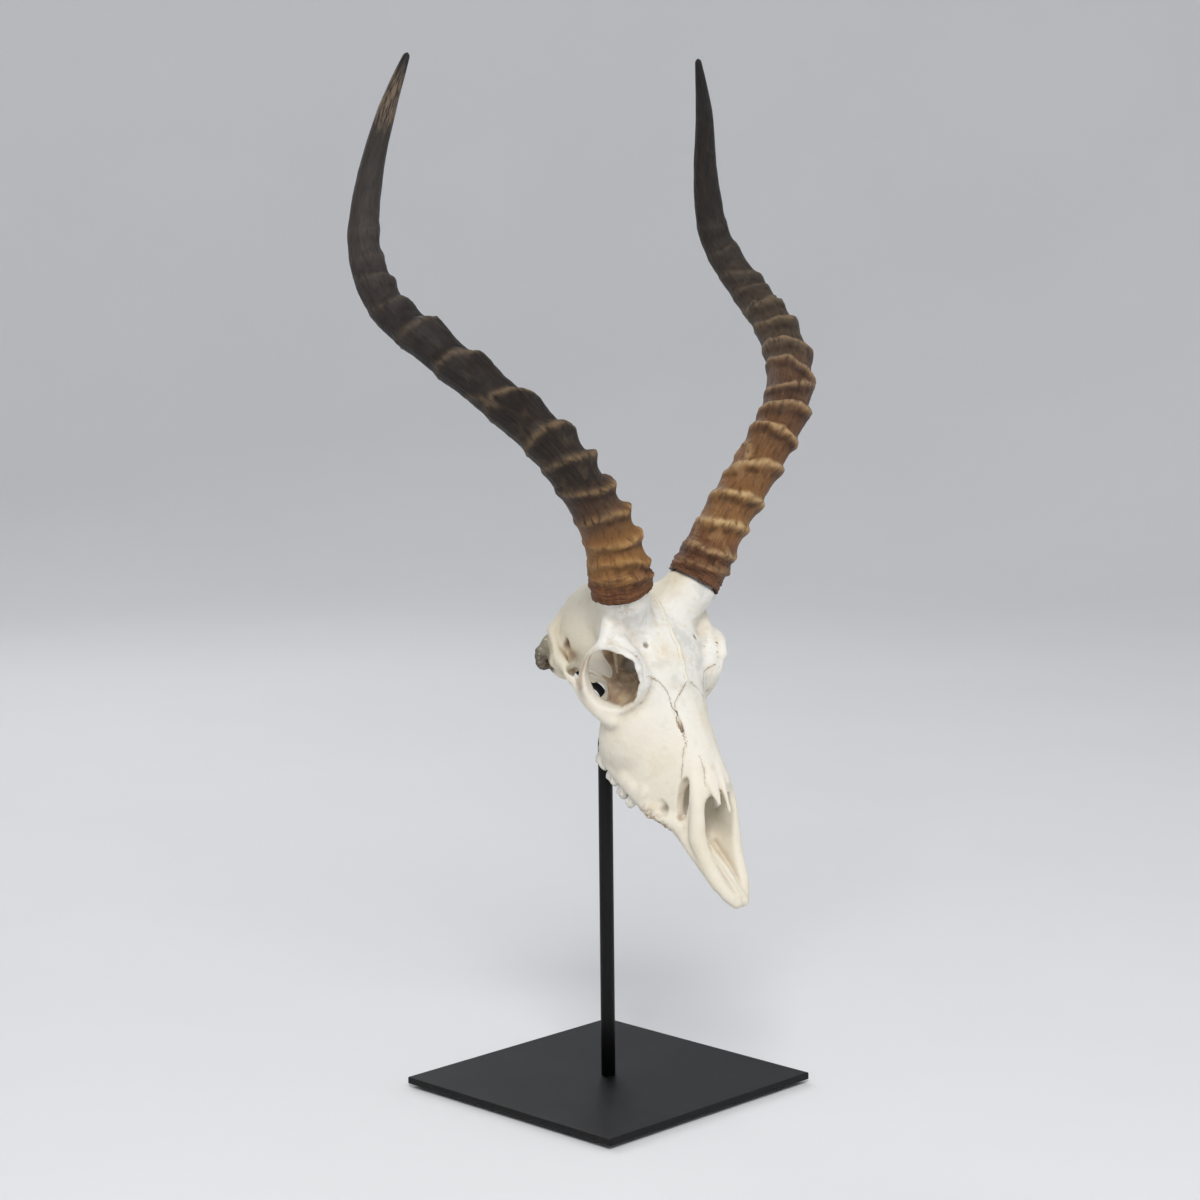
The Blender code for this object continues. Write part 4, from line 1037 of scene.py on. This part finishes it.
def surface_net(bone):
    """Points and quads of the surface where the bone's distance is zero."""
    values = bone.values
    inside = values < 0
    spots = list(np.ndindex(2, 2, 2))
    size = np.array(values.shape) - 1
    corner_sum = sum(inside[i:size[0] + i, j:size[1] + j, k:size[2] + k].astype(np.uint8)
                     for i, j, k in spots)
    cells = np.argwhere((corner_sum > 0) & (corner_sum < 8))
    number = np.full(corner_sum.shape, -1, np.int32)
    number[tuple(cells.T)] = np.arange(len(cells))
    total = np.zeros((len(cells), 3))
    count = np.zeros(len(cells))
    corner_values = {spot: values[tuple((cells + spot).T)] for spot in spots}
    for spot in spots:
        for axis in range(3):
            if spot[axis]:
                continue
            other = tuple(1 if a == axis else s for a, s in enumerate(spot))
            first, second = corner_values[spot], corner_values[other]
            crosses = (first < 0) != (second < 0)
            share = np.where(crosses, first / np.where(crosses, first - second, 1), 0)
            place = np.tile(np.array(spot, float), (len(cells), 1))
            place[:, axis] = share
            total += place * crosses[:, None]
            count += crosses
    origin = np.array([axis[0] for axis in bone.axes])
    points = origin + (cells + total / count[:, None]) * BONE_PITCH
    quads = []
    for axis in range(3):
        b, c = (axis + 1) % 3, (axis + 2) % 3
        lower = [slice(None)] * 3
        upper = [slice(None)] * 3
        lower[axis] = slice(0, -1)
        upper[axis] = slice(1, None)
        near, far = inside[tuple(lower)], inside[tuple(upper)]
        edges = np.argwhere(near != far)
        good = (edges[:, b] > 0) & (edges[:, c] > 0)
        good &= (edges[:, b] < number.shape[b]) & (edges[:, c] < number.shape[c])
        edges = edges[good]
        ring = []
        for shift_b, shift_c in ((-1, -1), (0, -1), (0, 0), (-1, 0)):
            cell = edges.copy()
            cell[:, b] += shift_b
            cell[:, c] += shift_c
            ring.append(number[tuple(cell.T)])
        ring = np.stack(ring, -1)
        outward = near[tuple(edges.T)]
        quads.append(ring[outward])
        quads.append(ring[~outward][:, ::-1])
    return points, np.concatenate(quads)


def largest_body(points, quads):
    """Only the points and quads of the biggest connected body."""
    label = np.arange(len(points))
    while True:
        low = label[quads].min(1)
        new = label.copy()
        for i in range(4):
            np.minimum.at(new, quads[:, i], low)
        new = new[new]
        if (new == label).all():
            break
        label = new
    main = np.bincount(label).argmax()
    keep = label == main
    renumber = np.cumsum(keep) - 1
    return points[keep], renumber[quads[keep[quads[:, 0]]]]


def relaxed(points, quads):
    """Points evened out along the surface without shrinking it."""
    first = np.concatenate([quads[:, i] for i in range(4)])
    second = np.concatenate([quads[:, (i + 1) % 4] for i in range(4)])
    count = np.bincount(first, minlength=len(points)) + np.bincount(second, minlength=len(points))
    for step in RELAX_STEPS:
        mean = np.zeros_like(points)
        for i in range(3):
            mean[:, i] = np.bincount(first, points[second, i], len(points))
            mean[:, i] += np.bincount(second, points[first, i], len(points))
        mean /= count[:, None]
        points = points + step * (mean - points)
    return points


def point_normals(points, quads):
    a = points[quads[:, 2]] - points[quads[:, 0]]
    b = points[quads[:, 3]] - points[quads[:, 1]]
    face = np.cross(a, b)
    normal = np.zeros_like(points)
    for i in range(4):
        for j in range(3):
            normal[:, j] += np.bincount(quads[:, i], face[:, j], len(points))
    return normal / np.maximum(np.linalg.norm(normal, axis=1, keepdims=True), 1e-9)


def sample(bone, points):
    """The bone's distance at any points, read between the grid's own."""
    origin = np.array([axis[0] for axis in bone.axes])
    spot = (points - origin) / BONE_PITCH
    limit = np.array(bone.values.shape) - 1.001
    spot = np.clip(spot, 0, limit)
    cell = spot.astype(int)
    return read_between(bone.values, cell, spot - cell)


def to_world(points):
    """Skull points, in millimetres, as world points in metres."""
    lean = math.radians(NOSE_DOWN)
    x, y, z = points[:, 0], -points[:, 1], points[:, 2]
    turned = np.stack([x, y * math.cos(lean) - z * math.sin(lean),
                       y * math.sin(lean) + z * math.cos(lean)], -1)
    return (turned + np.array(SKULL_ORIGIN)) * MM


def ball(points, centre, radii):
    """1 in the middle of a soft ball and 0 outside it, on both sides of the skull."""
    folded = np.abs(points[:, 0]) if centre[0] else points[:, 0]
    gap = np.stack([(folded - centre[0]) / radii[0], (points[:, 1] - centre[1]) / radii[1],
                    (points[:, 2] - centre[2]) / radii[2]], -1)
    return smooth_step(1.0, 0.25, np.linalg.norm(gap, axis=1))


def middle_seam_sway(points):
    """How far the seam between the frontal bones wanders off the middle, by place along it."""
    along = np.stack([points[:, 1] / 4.0, 0 * points[:, 1], 0 * points[:, 1]], -1)
    table = np.array(MIDDLE_SEAM)
    return np.interp(points[:, 1], table[:, 0], table[:, 1]) + 0.6 * layered_noise(along, 33)


def seam_distance(points, line):
    """Distance to a seam on either side of the skull, negative on one bank of it."""
    place = points.copy()
    place[:, 0] = np.abs(place[:, 0])
    rows = smooth_rows(line)
    best = np.full(len(points), 1e3)
    bank = np.ones(len(points))
    for i, (p, q) in enumerate(zip(rows, rows[1:])):
        d = q - p
        share = (place - p) @ d / (d @ d)
        offset = place - p - np.clip(share, 0, 1)[:, None] * d
        gap = np.linalg.norm(offset, axis=1)
        outward = np.cross(d, p - (0, p[1], p[2] - 40))
        side = np.where(offset @ outward < 0, -1.0, 1.0)
        beyond = ((share < 0) & (i == 0)) | ((share > 1) & (i == len(rows) - 2))
        closer = gap < best
        bank = np.where(closer, np.where(beyond, 0.0, side), bank)
        best = np.minimum(best, gap)
    near = (best < SEAM_REACH) & (bank != 0)
    return np.where(near, best * bank, 1e3 * np.where(bank < 0, -1.0, 1.0))


def make_skull(finish):
    """The bone's surface with its fine relief, and masks for its colours."""
    bone = grow_bone()
    points, quads = largest_body(*surface_net(bone))
    points = relaxed(points, quads)
    normals = point_normals(points, quads)
    open_air = sum(sample(bone, points + normals * depth) / depth for depth in (2.5, 5.0, 9.0)) / 3
    patch = {name: ball(points, centre, radii) for name, (centre, radii) in PATCHES.items()}
    patch["all"] = 1.0
    patch["rear"] = np.maximum(patch["rear_side"], patch["rear_middle"])
    # painted shade: the hollow mask darkens points closed in by bone, less in the open patch and towards
    # the front of the muzzle
    hollow = smooth_step(0.92, 0.25, open_air) * (1 - 0.85 * patch["open"])
    hollow *= 1 - 0.5 * smooth_step(168, 190, points[:, 1])
    relief = sum(height * patch[word] * layered_noise(points / size, seed)
                 for height, size, seed, word in BONE_RELIEF)
    off_middle = points[:, 0] - middle_seam_sway(points)
    on_roof = smooth_step(50, 60, points[:, 1]) * smooth_step(124, 117, points[:, 1])
    on_roof *= smooth_step(60, 70, points[:, 2])
    beads = MIDDLE_SEAM_HEIGHT * (0.8 + 0.9 * layered_noise(points / 2.2, 30))
    relief += beads * np.exp(-(off_middle / MIDDLE_SEAM_WIDTH) ** 2) * on_roof
    points = points + normals * relief[:, None]
    pits = np.max([ball(points, centre, (size, size, size)) for centre, size in DARK_PITS], axis=0)
    masks = {"hollow": hollow, "skullspace": points / 100, "pits": pits,
             "orbit": orbit_inside(points, normals),
             "seam_middle": (points[:, 0] - middle_seam_sway(points)) / 10 + 10 * (1 - on_roof)}
    masks.update({name: patch[name] for name in ("rear", "sockets")})
    masks["shade"] = ball(points, *SHADED_PATCH)
    for name, line in SEAMS.items():
        masks[name] = seam_distance(points, line) / 10
    skull = make_object("skull_detail", to_world(points), [quads], finish, masks)
    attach(skull, "root")
    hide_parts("skull")


def bone_finish():
    """Bleached bone, clouded with cream and grey, with painted brown shade in its hollows and small holes,
    brown seams, and a rotted, spongy rear whose darker brown low down is partly painted shade.
    """
    finish = Finish("bone")
    between, times = finish.between, finish.times
    space = finish.attribute("skullspace", "Vector")
    broad = finish.noise(space, 3.2, 4.0, 0.55)
    blotch = finish.noise(space, 9.0, 5.0, 0.6, 0.3)
    cloudy = finish.noise(space, 7.0, 6.0, 0.62, 0.5)
    pores = finish.noise(space, 120.0, 4.0, 0.65)
    grain = finish.noise(space, 46.0, 5.0, 0.62)
    place = finish.node("ShaderNodeSeparateXYZ", [("Vector", space)])
    drift = finish.sum("MULTIPLY_ADD", finish.sum("SUBTRACT", blotch, 0.5), 0.55, place.outputs["Z"])
    behind = finish.sum("MULTIPLY_ADD", blotch, 0.12, place.outputs["Y"])
    roof = between(drift, 0.72, 0.90)
    # tan-browns of the painted shade in the hollows
    hollow_shade_tone = finish.mix(between(blotch, 0.35, 0.65), srgb(178, 152, 116), srgb(140, 110, 76))
    inside = finish.mix(between(blotch, 0.40, 0.62), srgb(170, 146, 112), srgb(128, 98, 68))
    # spongy rear bone: grey-brown, turning darker brown lower down, partly real and partly painted shade
    rotten_and_shaded = finish.mix(between(drift, 0.38, 0.24), srgb(128, 122, 102), srgb(70, 54, 40))
    spongy = times(between(finish.attribute("rear"), 0.10, 0.45), between(grain, 0.22, 0.46))
    colour = finish.mix(between(drift, 0.95, 0.35), srgb(231, 229, 223), srgb(230, 223, 207))
    for mask, strength, tone in (
        (times(roof, between(cloudy, 0.47, 0.62)), 0.62, srgb(204, 202, 195)),
        (times(roof, between(cloudy, 0.44, 0.32)), 0.5, srgb(226, 214, 186)),
        (between(behind, 0.80, 0.60), 0.7, srgb(222, 213, 190)),
        (between(broad, 0.46, 0.68), 0.45, srgb(222, 210, 184)),
        (between(blotch, 0.54, 0.74), 0.35, srgb(205, 185, 148)),
        # painted shade, tan-brown, in the hollows of the bone
        (finish.attribute("hollow"), 0.72, hollow_shade_tone),
        (finish.attribute("orbit"), 0.85, inside),
        (finish.attribute("sockets"), between(grain, 0.40, 0.62), srgb(152, 120, 82)),
        (spongy, 0.92, rotten_and_shaded),
        (times(finish.attribute("shade"), between(grain, 0.30, 0.60)), 0.6, srgb(168, 160, 146)),
        (between(pores, 0.42, 0.32), 0.22, srgb(176, 160, 128)),
        # painted shade: dark brown in the small holes
        (finish.attribute("pits"), 0.8, srgb(84, 60, 40)),
    ):
        colour = finish.coat(colour, mask, strength, tone)

    wander = finish.sum("MULTIPLY_ADD", finish.noise(space, 70.0, 4.0, 0.6), 0.34, -0.17)
    deep = 0.0
    for name, (width, strength) in SEAM_MARKS.items():
        away = finish.away(name, wander)
        deep = finish.sum("MAXIMUM", deep, times(between(away, width, width * 0.25), strength))
        halo = times(between(away, 0.28, 0.05), between(blotch, 0.42, 0.60))
        colour = finish.coat(colour, halo, 0.30, srgb(196, 172, 132))
    colour = finish.coat(colour, deep, between(blotch, 0.30, 0.52), srgb(118, 92, 64))

    stray = times(wander, 0.35)
    middle = finish.away("seam_middle", stray)
    bank = finish.sum("ABSOLUTE", finish.sum("SUBTRACT", middle, 0.15))
    bank = times(between(bank, 0.07, 0.02), between(grain, 0.40, 0.58))
    colour = finish.coat(colour, bank, 0.34, srgb(160, 146, 120))
    colour = finish.coat(colour, between(middle, 0.16, 0.08), 0.6, srgb(234, 226, 204))
    crack = between(finish.away("seam_crack", stray), 0.085, 0.045)
    colour = finish.coat(colour, crack, 0.92, srgb(58, 40, 26))

    rough = finish.sum("MULTIPLY_ADD", blotch, 0.2, 0.44)
    normal = finish.bump(pores, 0.0003, 0.35)
    normal = finish.bump(grain, 0.0009, 0.35, normal)
    normal = finish.bump(finish.sum("SUBTRACT", 1.0, deep), 0.0005, 0.8, normal)
    return finish.finish(colour, rough, normal, gloss=0.35)


def enamel_finish():
    """Ivory enamel, streaked down the crown."""
    finish = Finish("enamel")
    streak = finish.noise(finish.stretch(finish.place, (1, 1, 0.25)), 420.0, 4.0, 0.6)
    stain = finish.noise(finish.place, 160.0, 4.0, 0.6)
    colour = finish.mix(finish.between(streak, 0.4, 0.65), srgb(236, 233, 224), srgb(212, 206, 190))
    colour = finish.coat(colour, finish.between(stain, 0.55, 0.72), 0.5, srgb(150, 138, 118))
    return finish.finish(colour, 0.30, finish.bump(streak, 0.0003, 0.5), gloss=0.5)


def tooth_rings(side, forward, length, width, edge):
    """Rings of one tooth, from the middle of its biting face out and up to the root."""
    share, angle = np.meshgrid(np.linspace(0, 1, TOOTH_LEVELS), circle(TOOTH_AROUND), indexing="ij")
    swell = np.interp(share, *TOOTH_SWELL)
    lobes = 1 - 0.17 * np.abs(np.sin(angle)) ** 4 * (0.6 + 0.4 * np.abs(np.sin(angle)))
    folds = 0.045 * np.cos(6 * angle) * np.sin(angle) ** 2
    lateral = width / 2 * swell * (lobes + folds) * np.sin(angle)
    onward = length / 2 * swell * (1 + 0.03 * np.cos(4 * angle)) * np.cos(angle)
    up = edge + (TOOTH_ROOT_TOP - edge) * share
    cusp = 1.1 * (1 - share) ** 6 * np.abs(np.cos(angle)) ** 1.5 * (0.4 + 0.6 * (np.sin(angle) > 0))
    crown = np.stack([side * (TOOTH_LATERAL + lateral), forward + onward, up - cusp + 0.9], -1)
    rings = [crown]
    for size, rise in TOOTH_FACE:
        ring = crown[0].copy()
        ring[:, 0] = side * TOOTH_LATERAL + (ring[:, 0] - side * TOOTH_LATERAL) * size
        ring[:, 1] = forward + (ring[:, 1] - forward) * (0.35 + 0.65 * size)
        ring[:, 2] += rise
        rings.insert(0, ring[None])
    return np.concatenate(rings)


def make_teeth(finish):
    """Four cheek teeth on each side."""
    for word, side in SIDES.items():
        for name, *shape in TEETH:
            rings = tooth_rings(side, *shape)
            faces = tube_faces(len(rings), TOOTH_AROUND)
            if side > 0:
                faces = [face[:, ::-1] for face in faces]
            tooth = make_object(f"tooth_{word}_{name}_detail", to_world(rings.reshape(-1, 3)), faces,
                                finish)
            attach(tooth, "root")
            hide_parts(f"tooth_{word}_{name}")


make_camera()
make_stage()
make_stand()
make_horn("right", horn_finish("right"))
make_horn("left", horn_finish("left"))
make_skull(bone_finish())
make_teeth(enamel_finish())
